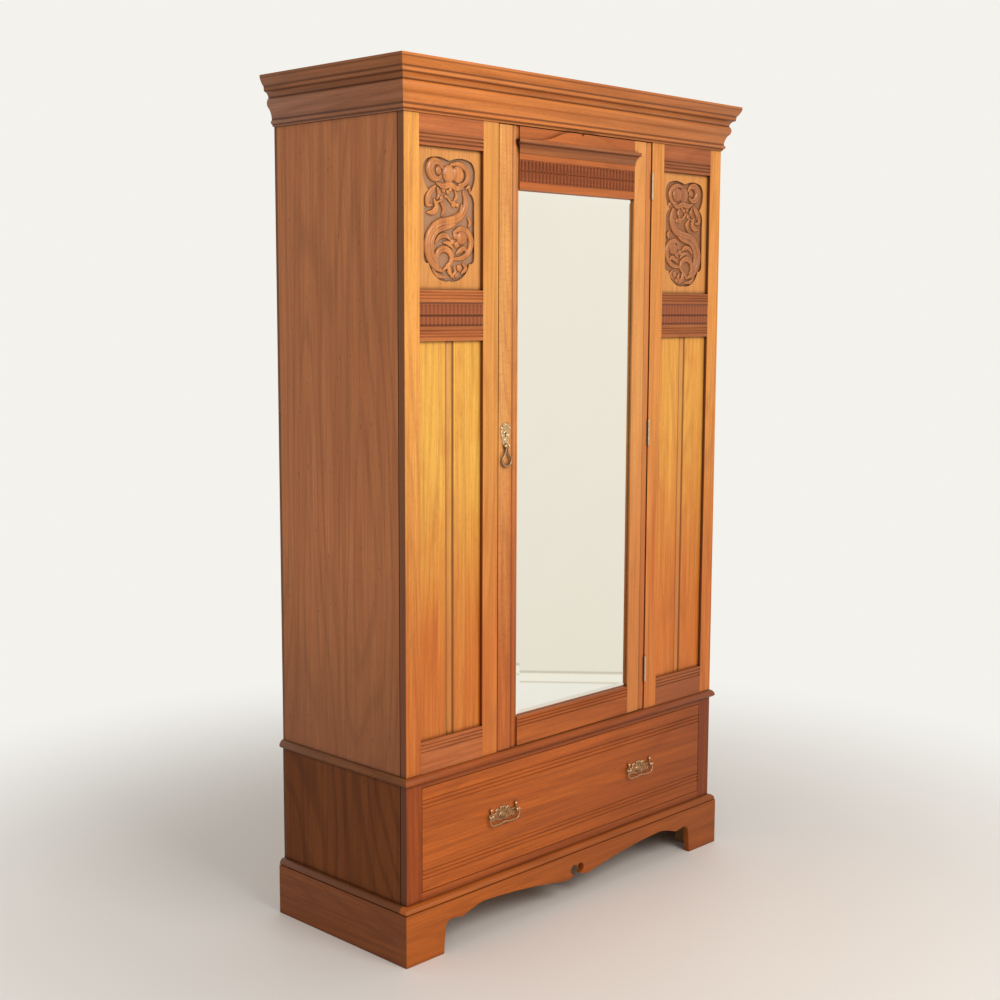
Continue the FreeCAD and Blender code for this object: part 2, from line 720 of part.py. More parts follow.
# Hanging rail in two turned sockets on the sides
RAIL_HEIGHT = f"({CASE_TOP} - rail_drop)"
RAIL_DEPTH = f"(({FRAME_BACK} + {BACK_INSIDE}) / 2)"
rail_half = f"({INSIDE} - socket_thickness + socket_depth)"
hanging_rail = body("hanging_rail", "0", RAIL_DEPTH, RAIL_HEIGHT)
round_pad(hanging_rail, "YZ", [("0", "0", "rail_radius")], f"2 * {rail_half}", "Symmetric")
node(hanging_rail)
socket = body("rail_socket_left", f"-{INSIDE}", RAIL_DEPTH, RAIL_HEIGHT)
pad(socket, "YZ", [eight_sided("0", "0", "socket_radius")], "socket_thickness")
round_pad(socket, "YZ", [("0", "0", "rail_radius + socket_clearance")], "socket_depth",
          offset="socket_thickness", kind="Pocket")
node(pair("rail_sockets", socket))

# Door stiles: a quirk and bead on the closing stile's inner edge and on the hinge stile's outer edge
closing_stile = body("door_closing_stile", f"-{DOOR_HALF}", FRONT, DOOR_FOOT)
bead_end = "(door_stile_width - sight_fillet)"
pad(closing_stile, "XY", [[
    ("0", "0"), (f"{bead_end} - closing_bead - reed_width", "0"),
    (f"{bead_end} - closing_bead", "reed_depth"),
    ((f"{bead_end} - closing_bead / 2", "0"), (bead_end, "reed_depth")), (bead_end, "sight_fillet_depth"),
    ("door_stile_width", "sight_fillet_depth"), ("door_stile_width", "mirror_setback"),
    ("door_stile_width - mirror_rebate", "mirror_setback"),
    ("door_stile_width - mirror_rebate", "door_thickness"), ("0", "door_thickness")]], DOOR_HEIGHT)
LOCK_FRONT = "(door_thickness - lock_thickness)"
pocket(closing_stile, "XZ", [rectangle("-overrun", "key_height - lock_height / 2", "lock_width",
                                       "key_height + lock_height / 2")],
       "lock_thickness", turned=True, offset="-door_thickness")


def keyhole(x, z):
    half_slot = "key_slot_width / 2"
    shoulder = f"{z} - key_hole_radius * {key_shoulder_share}"
    return [(f"{x} - {half_slot}", f"{z} - key_slot_length"),
            (f"{x} + {half_slot}", f"{z} - key_slot_length"), (f"{x} + {half_slot}", shoulder),
            ((x, f"{z} + key_hole_radius"), (f"{x} - {half_slot}", shoulder))]


pocket(closing_stile, "XZ", [keyhole("key_inset", "key_height")], LOCK_FRONT)
node(closing_stile)

hinge_stile = body("door_hinge_stile", SIGHT_HALF, FRONT, DOOR_FOOT)
pad(hinge_stile, "XY", [[
    ("0", "0"), ("door_stile_width - hinge_bead - reed_width", "0"),
    ("door_stile_width - hinge_bead", "reed_depth"),
    (("door_stile_width - hinge_bead / 2", "0"), ("door_stile_width", "reed_depth")),
    ("door_stile_width", "door_thickness"), ("mirror_rebate", "door_thickness"),
    ("mirror_rebate", "mirror_setback"), ("0", "mirror_setback")]], DOOR_HEIGHT)
node(hinge_stile)


# Door rails fill the stiles' rebates behind their faces, and are rebated for the mirror
def door_rail(label, foot, section, back_low, back_high):
    part = body(label, "0", FRONT, foot)
    pad(part, "YZ", [section], f"2 * {SIGHT_HALF}", "Symmetric")
    pad(part, "YZ", [rectangle("mirror_setback", back_low, "door_thickness", back_high)],
        f"2 * ({SIGHT_HALF} + mirror_rebate)", "Symmetric")
    return part


foot_section = reeded_face(reeds_down_from("door_foot_height", "reed_margin", "reed_pitch"),
                           "door_foot_height")
foot_section += [("mirror_setback", "door_foot_height"),
                 ("mirror_setback", "door_foot_height - mirror_rebate"),
                 ("door_thickness", "door_foot_height - mirror_rebate"), ("door_thickness", "0")]
node(door_rail("door_bottom_rail", DOOR_FOOT, foot_section, "0", "door_foot_height - mirror_rebate"))

HEAD_FOOT = f"({DOOR_FOOT} + {DOOR_HEIGHT} - door_head_height)"
LEDGE_FOOT = "(door_head_height - ledge_drop - ledge_height)"
TRENCH_TOP = f"({LEDGE_FOOT} - head_strip)"
TRENCH_FOOT = f"({TRENCH_TOP} - head_frieze_height)"
head_section = [("0", "0"), ("0", TRENCH_FOOT), ("head_frieze_thickness", TRENCH_FOOT),
                ("head_frieze_thickness", TRENCH_TOP), ("0", TRENCH_TOP), ("0", "door_head_height"),
                ("door_thickness", "door_head_height"), ("door_thickness", "mirror_rebate"),
                ("mirror_setback", "mirror_rebate"), ("mirror_setback", "0")]
node(door_rail("door_top_rail", HEAD_FOOT, head_section, "mirror_rebate", "door_head_height"))

head_frieze = body("door_frieze", f"-{SIGHT_HALF}", FRONT, f"{HEAD_FOOT} + {TRENCH_FOOT}")
head_face = reeded_face(["head_frieze_height / 2"], "head_frieze_height", face="head_frieze_setback")
pad(head_frieze, "YZ", [head_face + [("head_frieze_thickness", "head_frieze_height"),
                                     ("head_frieze_thickness", "0")]], f"2 * {SIGHT_HALF}")
flute(head_frieze, "head_frieze_setback", "(head_frieze_height - head_flute_band) / 2", "head_flute_band",
      f"2 * {SIGHT_HALF}")
node(head_frieze)

# Small cornice ledge with returned ends: what its front section and its end section have in common
ledge_section = scaled(ledge_shares, "ledge_projection", "ledge_height")
ledge_run = body("door_ledge_run", "0", FRONT, f"{HEAD_FOOT} + {LEDGE_FOOT}")
pad(ledge_run, "YZ", [flipped(ledge_section)], f"2 * ({SIGHT_HALF} + ledge_projection)", "Symmetric")
ledge_ends = body("door_ledge_ends", "0", FRONT, f"{HEAD_FOOT} + {LEDGE_FOOT}")
end_half = each_point(ledge_section, lambda p: (f"{SIGHT_HALF} + {p[0]}", p[1]))
pad(ledge_ends, "XZ", [both_sides(end_half[1:-1])], "ledge_projection")
node(boolean("door_ledge", "Common", ledge_run, ledge_ends))

tablet = body("door_tablet", "0", FRONT, f"{HEAD_FOOT} + door_head_height - ledge_drop")
pad(tablet, "XZ", [both_sides(scaled(tablet_shares, "tablet_width / 2", "tablet_height"))],
    "tablet_thickness")
node(tablet)

# Mirror plate, bevelled inside the sight line with a flat rim in the rebate, and its backboard
RIM_HALF = f"({SIGHT_HALF} + mirror_rebate)"
SIGHT_FOOT = f"({DOOR_FOOT} + door_foot_height)"
SIGHT_TOP = f"({SIGHT_FOOT} + {SIGHT_HEIGHT})"
mirror_plate = body("mirror_plate", "0", f"{FRONT} + mirror_setback", SIGHT_FOOT)
rim = "(mirror_rebate - mirror_play)"
rim_outline = rectangle(f"-{SIGHT_HALF} - {rim}", f"-{rim}", f"{SIGHT_HALF} + {rim}",
                        f"{SIGHT_HEIGHT} + {rim}")
pad(mirror_plate, "XZ", [rim_outline], "mirror_thickness - mirror_bevel_depth", turned=True)
bevel = mirror_plate.newObject("PartDesign::AdditiveLoft", "mirror_bevel_faces")
bevel.Profile = outlined(mirror_plate, "XZ", [rectangle(f"-{SIGHT_HALF}", "0", SIGHT_HALF, SIGHT_HEIGHT)])
flat_half = f"({SIGHT_HALF} - mirror_bevel)"
bevel.Sections = [outlined(mirror_plate, "XZ", [rectangle(f"-{flat_half}", "mirror_bevel", flat_half,
                                                          f"{SIGHT_HEIGHT} - mirror_bevel")],
                           "mirror_bevel_depth")]
bevel.Ruled = True
node(mirror_plate)
GLASS_BACK = f"({FRONT} + mirror_setback + mirror_thickness - mirror_bevel_depth)"
node(board("mirror_backboard", (f"-{RIM_HALF}", RIM_HALF),
           (GLASS_BACK, f"{GLASS_BACK} + mirror_back_thickness"),
           (f"{SIGHT_FOOT} - mirror_rebate", f"{SIGHT_TOP} + mirror_rebate")))

# Butt hinges: leaves in the gap beside the hinge stile, and a pin through three knuckles
HINGE_X = f"({DOOR_OPENING} - door_gap / 2)"
HINGE_Y = f"({FRONT} - knuckle_stand)"
hinge_heights = [f"{DOOR_FOOT} + hinge_end_drop", f"{DOOR_FOOT} + {DOOR_HEIGHT} / 2",
                 f"{DOOR_FOOT} + {DOOR_HEIGHT} - hinge_end_drop"]
THIRD = "(hinge_length / 3)"


# A leaf starts with its plate, and its knuckles are pads from the given offsets along the pin
def hinge_leaf(label, height, direction, knuckle_feet):
    part = body(label, HINGE_X, HINGE_Y, f"{height} - hinge_length / 2")
    near = f"{direction} * (door_gap / 2 - hinge_leaf)"
    far = f"{direction} * door_gap / 2"
    pad(part, "XY", [rectangle(near, "knuckle_stand", far, "knuckle_stand + hinge_leaf_width")],
        "hinge_length")
    for foot in knuckle_feet:
        length = f"{THIRD} - knuckle_gap"
        pad(part, "XY", [rectangle(near, "0", far, "knuckle_stand")], length, offset=foot)
        pad(part, "XY", [eight_sided("0", "0", "knuckle_radius")], length, offset=foot)
    return part


# The pin is fast in the case leaf's two knuckles and turns in the bore of the door leaf's one
case_leaves = []
door_leaves = []
for number, height in enumerate(hinge_heights):
    case_leaf = hinge_leaf(f"case_leaf_{number}", height, "1", ["0", f"2 * {THIRD} + knuckle_gap"])
    round_pad(case_leaf, "XY", [("0", "0", "hinge_pin_radius")], "hinge_length")
    case_leaves.append(case_leaf)
    door_leaf = hinge_leaf(f"door_leaf_{number}", height, "-1", [f"{THIRD} + knuckle_gap / 2"])
    round_pad(door_leaf, "XY", [("0", "0", "hinge_pin_radius + pin_clearance")], "through", "Symmetric",
              kind="Pocket")
    door_leaves.append(door_leaf)
node(group("hinge_case_leaves", case_leaves))
node(group("hinge_door_leaves", door_leaves))

# Lock let into the closing stile, its sliding bolt, and the strike plate and mortise in the inner stile
KEY_X = f"(key_inset - {DOOR_HALF})"
KEY_Z = f"({DOOR_FOOT} + key_height)"
BOLT_Y = f"({FRONT} + door_thickness - lock_thickness / 2)"
lock_case = body("lock_case", f"-{DOOR_HALF}", BOLT_Y, KEY_Z)
pad(lock_case, "XZ", [rectangle("0", "-lock_height / 2", "lock_width", "lock_height / 2")],
    "lock_thickness", "Symmetric")
pocket(lock_case, "XZ", [rectangle("-overrun", "-bolt_width / 2 - bolt_clearance",
                                   "bolt_length + 2 * bolt_clearance", "bolt_width / 2 + bolt_clearance")],
       "bolt_thickness + 2 * bolt_clearance", "Symmetric")
node(lock_case)
bolt_left = f"bolt_clearance - {DOOR_HALF}"
node(board("lock_bolt", (bolt_left, f"{bolt_left} + bolt_length"),
           (f"{BOLT_Y} - bolt_thickness / 2", f"{BOLT_Y} + bolt_thickness / 2"),
           (f"{KEY_Z} - bolt_width / 2", f"{KEY_Z} + bolt_width / 2")))

strike_plate = body("strike_plate", f"-{DOOR_OPENING}", BOLT_Y, KEY_Z)
slot = rectangle("-bolt_thickness / 2 - bolt_clearance", "-bolt_width / 2 - bolt_clearance",
                 "bolt_thickness / 2 + bolt_clearance", "bolt_width / 2 + bolt_clearance")
pad(strike_plate, "YZ", [rectangle("-strike_width / 2", "-strike_height / 2", "strike_width / 2",
                                   "strike_height / 2"), slot], "strike_thickness", turned=True)
node(strike_plate)
mortise = body("strike_mortise", f"-{DOOR_OPENING}", BOLT_Y, KEY_Z)
pad(mortise, "YZ", [rectangle("-strike_width / 2", "-strike_height / 2", "strike_width / 2",
                              "strike_height / 2")], "strike_thickness", turned=True)
pad(mortise, "YZ", [slot], "mortise_depth", turned=True)
node(boolean("inner_stile_left", "Cut", inner_stile, mortise))

# Escutcheon with keyhole, and the two lugs that carry the drop
escutcheon = body("escutcheon", KEY_X, FRONT, KEY_Z)
plate = both_sides(scaled(escutcheon_shares, "escutcheon_width / 2", "escutcheon_height"))
pad(escutcheon, "XZ", [each_point(plate, lambda p: (p[0], f"{p[1]} - escutcheon_foot"))],
    "escutcheon_thickness")
lug_span = "drop_eye_length + 2 * drop_eye_gap"
lug_low = "(-lug_drop - lug_radius)"
lug_high = "(-lug_drop + lug_radius)"
lug_flat = f"{eighth_share} * lug_radius"
pad(escutcheon, "YZ", [[("0", lug_low), (f"-drop_stand - {lug_flat}", lug_low),
                        ("-drop_stand - lug_radius", f"-lug_drop - {lug_flat}"),
                        ("-drop_stand - lug_radius", f"-lug_drop + {lug_flat}"),
                        (f"-drop_stand - {lug_flat}", lug_high), ("0", lug_high)]],
    f"{lug_span} + 2 * lug_length", "Symmetric")
pocket(escutcheon, "YZ", [rectangle("-drop_stand - lug_radius - overrun", f"{lug_low} - overrun",
                                    "-escutcheon_thickness", f"{lug_high} + overrun")],
       lug_span, "Symmetric")
round_pad(escutcheon, "YZ", [("-drop_stand", "-lug_drop", "drop_pin_radius + pin_clearance")], "through",
          "Symmetric", kind="Pocket")
pocket(escutcheon, "XZ", [keyhole("0", "0")], "through", "Symmetric")
node(escutcheon)

# Pear-shaped open drop that swings between the lugs
drop = body("drop_pull", KEY_X, f"{FRONT} - drop_stand", f"{KEY_Z} - lug_drop")
drop_outline = both_sides(scaled(drop_outer_shares, "drop_width / 2", "drop_length"))
drop_opening = both_sides(scaled(drop_inner_shares, "drop_width / 2", "drop_length"))
pad(drop, "XZ", [drop_outline, drop_opening], "drop_thickness", "Symmetric")
pad(drop, "YZ", [eight_sided("0", "0", "drop_eye_radius")], "drop_eye_length", "Symmetric")
round_pad(drop, "YZ", [("0", "0", "drop_pin_radius")], f"{lug_span} + 2 * lug_length", "Symmetric")
node(drop)

# Base: top board with the waist moulding, sides, front frame and back
node(board("base_top", (f"-{HALF}", HALF), (FRONT, BACK), (BASE_TOP, "base_height")))
waist_section = scaled(waist_shares, "waist_projection", "waist_height")
moulding("waist", waist_section, "waist_projection", "0", BASE_TOP)
base_side = board("base_side_left", (f"-{HALF}", f"-{INSIDE}"), (FRAME_BACK, BACK_INSIDE),
                  ("base_rise", BASE_TOP))
node(pair("base_sides", base_side))
base_stile = body("base_stile_left", f"-{HALF}", FRONT, "base_rise")
pad(base_stile, "XY", [[
    ("0", "0"), ("base_stile_width", "0"), ("base_stile_width", "frame_thickness"),
    ("quirk", "frame_thickness"), ("quirk", "frame_thickness - quirk"), ("0", "frame_thickness - quirk")]],
    f"{BASE_TOP} - base_rise")
node(pair("base_stiles", base_stile))
DRAWER_HALF = f"({HALF} - base_stile_width)"
RUN_HEIGHT = "(plinth_height + lower_rail_reveal)"
OPENING_TOP = f"({BASE_TOP} - drawer_rail_height)"
node(board("drawer_rail_upper", (f"-{DRAWER_HALF}", DRAWER_HALF), (FRONT, f"{FRONT} + drawer_rail_depth"),
           (OPENING_TOP, BASE_TOP)))
node(board("drawer_rail_lower", (f"-{DRAWER_HALF}", DRAWER_HALF), (FRONT, FRAME_BACK),
           (f"{RUN_HEIGHT} - lower_rail_height", RUN_HEIGHT)))
node(board("base_back", (f"-{HALF}", HALF), (BACK_INSIDE, BACK), ("base_rise", BASE_TOP)))

# Runners carry the drawer sides, guides keep it straight, kickers stop it tipping
runner = board("drawer_runner", (f"-{INSIDE}", f"runner_width - {INSIDE}"), (FRAME_BACK, BACK_INSIDE),
               (f"{RUN_HEIGHT} - runner_thickness", RUN_HEIGHT))
guide = board("drawer_guide", (f"-{INSIDE}", f"-{DRAWER_HALF}"), (FRAME_BACK, BACK_INSIDE),
              (RUN_HEIGHT, f"{RUN_HEIGHT} + guide_height"))
kicker = board("drawer_kicker", (f"-{INSIDE}", f"runner_width - {INSIDE}"),
               (f"{FRONT} + drawer_rail_depth", BACK_INSIDE), (OPENING_TOP, BASE_TOP))
node(pair("drawer_runners", runner))
node(group("drawer_guides", [guide, kicker, mirrored("drawer_guide_right", guide),
                             mirrored("drawer_kicker_right", kicker)]))

# Plinth: front with shaped apron and bracket feet, plain sides, cap moulding and corner blocks
PLINTH_BOARD = "(plinth_height - plinth_cap_height)"
plinth_half = f"({HALF} + plinth_projection)"
apron = scaled(apron_shares, f"{plinth_half} - foot_width", "apron_rise")
half_front = backwards(apron) + [(plinth_half, "0"), (plinth_half, PLINTH_BOARD)]
plinth_front = body("plinth_front", "0", FRONT, "0")
pad(plinth_front, "XZ", [both_sides(half_front + [("0", PLINTH_BOARD)])], "plinth_projection")
plinth_tip = (f"{plinth_half} + overrun", "-plinth_projection - overrun")
plinth_waste = [plinth_tip, (plinth_tip[0], "overrun"), (f"{HALF} - overrun", "overrun")]
pocket(plinth_front, "XY", [plinth_waste, flipped(plinth_waste)], "through", "Symmetric")
node(plinth_front)
plinth_side = body("plinth_side_left", f"-{HALF}", FRONT, "0")
pad(plinth_side, "XY", [[("0", "0"), ("0", "case_depth"), ("-plinth_projection", "case_depth"),
                         ("-plinth_projection", "-plinth_projection")]], PLINTH_BOARD)
node(pair("plinth_sides", plinth_side))
cap_section = scaled(plinth_cap_shares, "plinth_cap_projection", "plinth_cap_height")
cap_front = front_moulding("plinth_cap_front", cap_section, "plinth_cap_projection", "0", PLINTH_BOARD)
cap_return = return_moulding("plinth_cap_return", cap_section, "plinth_cap_projection", "0", PLINTH_BOARD)
node(group("plinth_caps", [cap_front, cap_return, mirrored("plinth_cap_return_right", cap_return)]))
blocks_top = "glue_block_rise + glue_block_height"
front_glue = corner_block("glue_block_front", FRAME_BACK, f"{FRAME_BACK} + glue_block", "glue_block",
                          "glue_block_rise", blocks_top, INSIDE)
back_glue = corner_block("glue_block_back", f"{BACK_INSIDE} - glue_block", BACK_INSIDE, "glue_block",
                         "glue_block_rise", blocks_top, INSIDE)
node(group("glue_blocks", [front_glue, back_glue, mirrored("glue_block_front_right", front_glue),
                           mirrored("glue_block_back_right", back_glue)]))

# Drawer: reeded front with lapped dovetails into the sides, back between them and a bottom in grooves
FRONT_FOOT = f"({RUN_HEIGHT} + drawer_gap)"
FRONT_HEIGHT = f"({OPENING_TOP} - {RUN_HEIGHT} - 2 * drawer_gap)"
BOX_HALF = f"({DRAWER_HALF} - drawer_gap)"
SIDE_FOOT = f"({RUN_HEIGHT} + run_clearance)"
SIDE_HEIGHT = f"({OPENING_TOP} - {SIDE_FOOT} - drawer_side_drop)"
TAIL_PITCH = f"({SIDE_HEIGHT} / tail_count)"
BOTTOM_FOOT = f"({SIDE_FOOT} + drawer_bottom_rise)"


# One dovetail, with its wide end at the tip and a clearance all round for a socket
def dovetail(root_y, tip_y, middle, clearance):
    root = f"({TAIL_PITCH} * {tail_root_share} / 2 + {clearance})"
    tip = f"({TAIL_PITCH} * {tail_tip_share} / 2 + {clearance})"
    return [(root_y, f"{middle} - {root}"), (tip_y, f"{middle} - {tip}"), (tip_y, f"{middle} + {tip}"),
            (root_y, f"{middle} + {root}")]


drawer_front = body("drawer_front", "0", FRONT, FRONT_FOOT)
front_section = reeded_face(reeds_up_from("0", "drawer_reed_margin", "drawer_reed_pitch")
                            + reeds_down_from(FRONT_HEIGHT, "drawer_reed_margin", "drawer_reed_pitch"),
                            FRONT_HEIGHT)
groove_foot = f"({BOTTOM_FOOT} - {FRONT_FOOT})"
groove_top = f"({groove_foot} + drawer_bottom_thickness)"
groove_floor = "(drawer_front_thickness - drawer_groove)"
front_section += [("drawer_front_thickness", FRONT_HEIGHT), ("drawer_front_thickness", groove_top),
                  (groove_floor, groove_top), (groove_floor, groove_foot),
                  ("drawer_front_thickness", groove_foot), ("drawer_front_thickness", "0")]
pad(drawer_front, "YZ", [front_section], f"2 * {BOX_HALF}", "Symmetric")
first_tail = f"({SIDE_FOOT} - {FRONT_FOOT} + {TAIL_PITCH} / 2)"
socket_floor = "drawer_front_thickness - tail_length - tail_clearance"
socket_outline = dovetail("drawer_front_thickness", socket_floor, first_tail, "tail_clearance")
for end, turned in ((f"-{BOX_HALF}", True), (BOX_HALF, False)):
    seed = pocket(drawer_front, "YZ", [socket_outline], "drawer_side_thickness + tail_clearance",
                  turned=turned, offset=end)
    row_of(drawer_front, seed, "V_Axis", TAIL_PITCH, "tail_count")
node(drawer_front)

SIDE_START = f"({FRONT} + drawer_front_thickness)"
DRAWER_END = f"({BACK_INSIDE} - drawer_back_space)"
SIDE_LENGTH = f"({DRAWER_END} - {SIDE_START})"
drawer_side = body("drawer_side_left", f"-{BOX_HALF}", SIDE_START, SIDE_FOOT)
side_groove = "(drawer_side_thickness - drawer_groove)"
bottom_top = "(drawer_bottom_rise + drawer_bottom_thickness)"
pad(drawer_side, "XZ", [[
    ("0", "0"), ("drawer_side_thickness", "0"), ("drawer_side_thickness", "drawer_bottom_rise"),
    (side_groove, "drawer_bottom_rise"), (side_groove, bottom_top), ("drawer_side_thickness", bottom_top),
    ("drawer_side_thickness", SIDE_HEIGHT), ("0", SIDE_HEIGHT)]], SIDE_LENGTH, turned=True)
tail = pad(drawer_side, "YZ", [dovetail("0", "-tail_length", f"{TAIL_PITCH} / 2", "0")],
           "drawer_side_thickness")
row_of(drawer_side, tail, "V_Axis", TAIL_PITCH, "tail_count")
node(pair("drawer_sides", drawer_side))
BOX_INSIDE = f"({BOX_HALF} - drawer_side_thickness)"
node(board("drawer_back", (f"-{BOX_INSIDE}", BOX_INSIDE),
           (f"{DRAWER_END} - drawer_back_thickness", DRAWER_END),
           (f"{BOTTOM_FOOT} + drawer_bottom_thickness", f"{SIDE_FOOT} + {SIDE_HEIGHT} - drawer_back_drop")))
bottom_half = f"({BOX_INSIDE} + drawer_groove - tail_clearance)"
drawer_bottom = body("drawer_bottom", "0", SIDE_START, BOTTOM_FOOT)
tongue_half = f"({BOX_INSIDE} - tail_clearance)"
bottom_edge = [("0", "tail_clearance - drawer_groove"), (tongue_half, "tail_clearance - drawer_groove"),
               (tongue_half, "0"), (bottom_half, "0"), (bottom_half, SIDE_LENGTH), ("0", SIDE_LENGTH)]
pad(drawer_bottom, "XY", [both_sides(bottom_edge)], "drawer_bottom_thickness")
node(drawer_bottom)

# Cast handle plates: lobed plate, stepped oval boss, and two bored ears with turned finials
HANDLE_Z = f"({FRONT_FOOT} + {FRONT_HEIGHT} / 2)"
handle = body("handle_plate_left", "-handle_spread", FRONT, HANDLE_Z)
plate = both_sides(scaled(handle_shares, "handle_width / 2", "handle_height"))
pad(handle, "XZ", [each_point(plate, lambda p: (p[0], f"{p[1]} - handle_height * {boss_height_share}"))],
    "handle_thickness")
oval = both_sides(scaled(boss_shares, "boss_width / 2", "boss_height / 2"))
pad(handle, "XZ", [oval], "handle_thickness + boss_depth / 2")
crown = each_point(oval, lambda p: (f"{boss_crown_share} * {p[0]}", f"{boss_crown_share} * {p[1]}"))
pad(handle, "XZ", [crown], "handle_thickness + boss_depth")
ear_sides = ("-ear_spread", "ear_spread")
pad(handle, "XZ", [eight_sided(side, "ear_rise", "ear_radius", ear_flat_share) for side in ear_sides],
    "ear_length")
round_pad(handle, "YZ", [("-ear_bore_stand", "ear_rise", "bail_pin_radius + pin_clearance")], "through",
          "Symmetric", kind="Pocket")
NECK_TOP = "(ear_rise + finial_rise - finial_radius)"
finial_sections = [("finial_neck_radius", "ear_rise + ear_radius / 2"), ("finial_neck_radius", NECK_TOP),
                   ("finial_radius", f"{NECK_TOP} + finial_radius"),
                   ("finial_neck_radius / 2", f"{NECK_TOP} + 2 * finial_radius")]
for side in ear_sides:
    rings = [outlined(handle, "XY", [eight_sided(side, "-finial_stand", f"({half})")], height)
             for half, height in finial_sections]
    finial = handle.newObject("PartDesign::AdditiveLoft", "handle_finial")
    finial.Profile = rings[0]
    finial.Sections = rings[1:]
    finial.Ruled = True
node(pair("handle_plates", handle))


# One edge of a bail's bar, from the middle of its bow up to the eye, at the given distance from its line
def bail_edge(away):
    radius = f"(bail_corner + {away})"
    centre = ("(bail_spread - bail_corner)", "(bail_corner - bail_drop)")
    edge = [(f"{along} * bail_bow_half", f"{rise} * bail_bow - bail_drop - {away}")
            for along, rise in bow_shares]
    edge.append((centre[0], f"-bail_drop - {away}"))
    edge.append(((f"{centre[0]} + {slant_share} * {radius}", f"{centre[1]} - {slant_share} * {radius}"),
                 (f"bail_spread + {away}", centre[1])))
    return edge + [(f"bail_spread + {away}", "0")]


# Bail: a bar with rounded corners and a shallow bow, hung by two pins that turn in the ears
def bail(label, x):
    part = body(label, x, f"{FRONT} - ear_bore_stand", f"{HANDLE_Z} + ear_rise")
    bar = bail_edge("bail_radius") + backwards(bail_edge("(-bail_radius)"))
    pad(part, "XZ", [both_sides(bar)], "2 * bail_radius", "Symmetric")
    for side in ("1", "-1"):
        pad(part, "YZ", [eight_sided("0", "0", "bail_eye_radius")], "2 * bail_radius", "Symmetric",
            offset=f"{side} * bail_spread")
        round_pad(part, "YZ", [("0", "0", "bail_pin_radius")], "bail_pin_length",
                  offset=f"{side} * bail_spread", turned=side == "1")
    return part


node(bail("bail_left", "-handle_spread"))
node(bail("bail_right", "handle_spread"))

# Every object must have been made, and every node must be whole, before anything is written
doc.recompute()
for thing in doc.Objects:
    if "Invalid" in thing.State or "Error" in thing.State:
        raise RuntimeError(f"{thing.Label} was not made: {thing.State}")
for thing in nodes:
    if thing.Shape.isNull() or not thing.Shape.isValid() or not thing.Shape.Solids:
        raise RuntimeError(f"{thing.Label} has no valid solid")
os.makedirs("parts", exist_ok=True)
for thing in nodes:
    thing.Shape.exportStep(f"parts/{thing.Label}.step")
print(f"{len(nodes)} nodes, {sum(len(thing.Shape.Solids) for thing in nodes)} solids")
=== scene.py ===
import math
import bpy
import numpy as np
from mathutils import Matrix, Vector


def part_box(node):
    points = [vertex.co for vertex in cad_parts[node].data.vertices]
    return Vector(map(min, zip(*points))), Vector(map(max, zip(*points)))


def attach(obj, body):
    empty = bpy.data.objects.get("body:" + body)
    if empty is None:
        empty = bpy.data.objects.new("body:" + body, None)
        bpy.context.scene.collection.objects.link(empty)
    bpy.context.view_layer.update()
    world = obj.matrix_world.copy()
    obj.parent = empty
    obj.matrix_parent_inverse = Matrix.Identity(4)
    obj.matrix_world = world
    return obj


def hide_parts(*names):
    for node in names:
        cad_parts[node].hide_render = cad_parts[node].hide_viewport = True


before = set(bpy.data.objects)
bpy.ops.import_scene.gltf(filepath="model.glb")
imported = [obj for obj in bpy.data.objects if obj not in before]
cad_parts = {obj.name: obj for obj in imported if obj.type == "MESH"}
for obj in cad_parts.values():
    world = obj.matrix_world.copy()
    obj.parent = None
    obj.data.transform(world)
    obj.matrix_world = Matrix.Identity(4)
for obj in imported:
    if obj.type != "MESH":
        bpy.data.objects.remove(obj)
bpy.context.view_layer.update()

# Plinth
# Mitred boards of polished satin walnut with a shaped apron between two bracket feet in front, a
# planted cap moulding round the top, and rough pine blocks glued into the corners behind.
MM = 0.001
METRE_IN_MM = 1000


def linear(colour):
    channels = [int(colour[place:place + 2], 16) / 255 for place in (1, 3, 5)]
    return (*[c / 12.92 if c <= 0.04045 else ((c + 0.055) / 1.055) ** 2.4 for c in channels], 1)


def add(tree, kind, settings=None, links=None):
    made = tree.nodes.new(kind)
    for key, value in (settings or {}).items():
        if isinstance(key, int) or key in made.inputs:
            made.inputs[key].default_value = value
        else:
            setattr(made, key, value)
    for socket, source in (links or {}).items():
        tree.links.new(source, made.inputs[socket])
    return made


def new_material(name):
    material = bpy.data.materials.new(name)
    material.use_nodes = True
    material.node_tree.nodes.clear()
    return material, material.node_tree


ALONG_X, ALONG_Y, ALONG_Z = 0, 1, 2
FIGURE_STRETCH = 13
FIBRE_STRETCH = 60
PORE_STRETCH = 12
# the rings of the figure follow the level lines of a slow noise, this many to one step of it
RINGS = 17
# pieces of the same wood are taken from places up to this many metres apart in the pattern
LOG_SPREAD = 9.0
PORE_DEPTH_MM, PUNCH_DEPTH_MM = 0.15, 0.8
# how far the dirt and painted shade reach out of a corner, how round a worn arris looks, and how much paler
# it is painted, for wear and as a painted highlight
DIRT_AND_SHADE_REACH_MM, WEAR_AND_SHEEN_RADIUS_MM, WORN_AND_SHEEN = 10, 2, 0.35
# painted light: the front is painted paler and more golden towards the top and its left-hand end, falling off
# over this stretch in metres
LIGHT_AND_SHADE_LEFT, LIGHT_AND_SHADE_RIGHT = -0.35, 0.6
PAINTED_LIGHT_LOST = 0.45
# painted shade: woods without the painted light are painted this much deeper towards the right-hand end
PAINTED_SHADE_RIGHT = 0.42
MIX_A, MIX_B, MIX_COLOUR = 6, 7, 2
CREVICE_DIRT_AND_SHADE = "#261209"


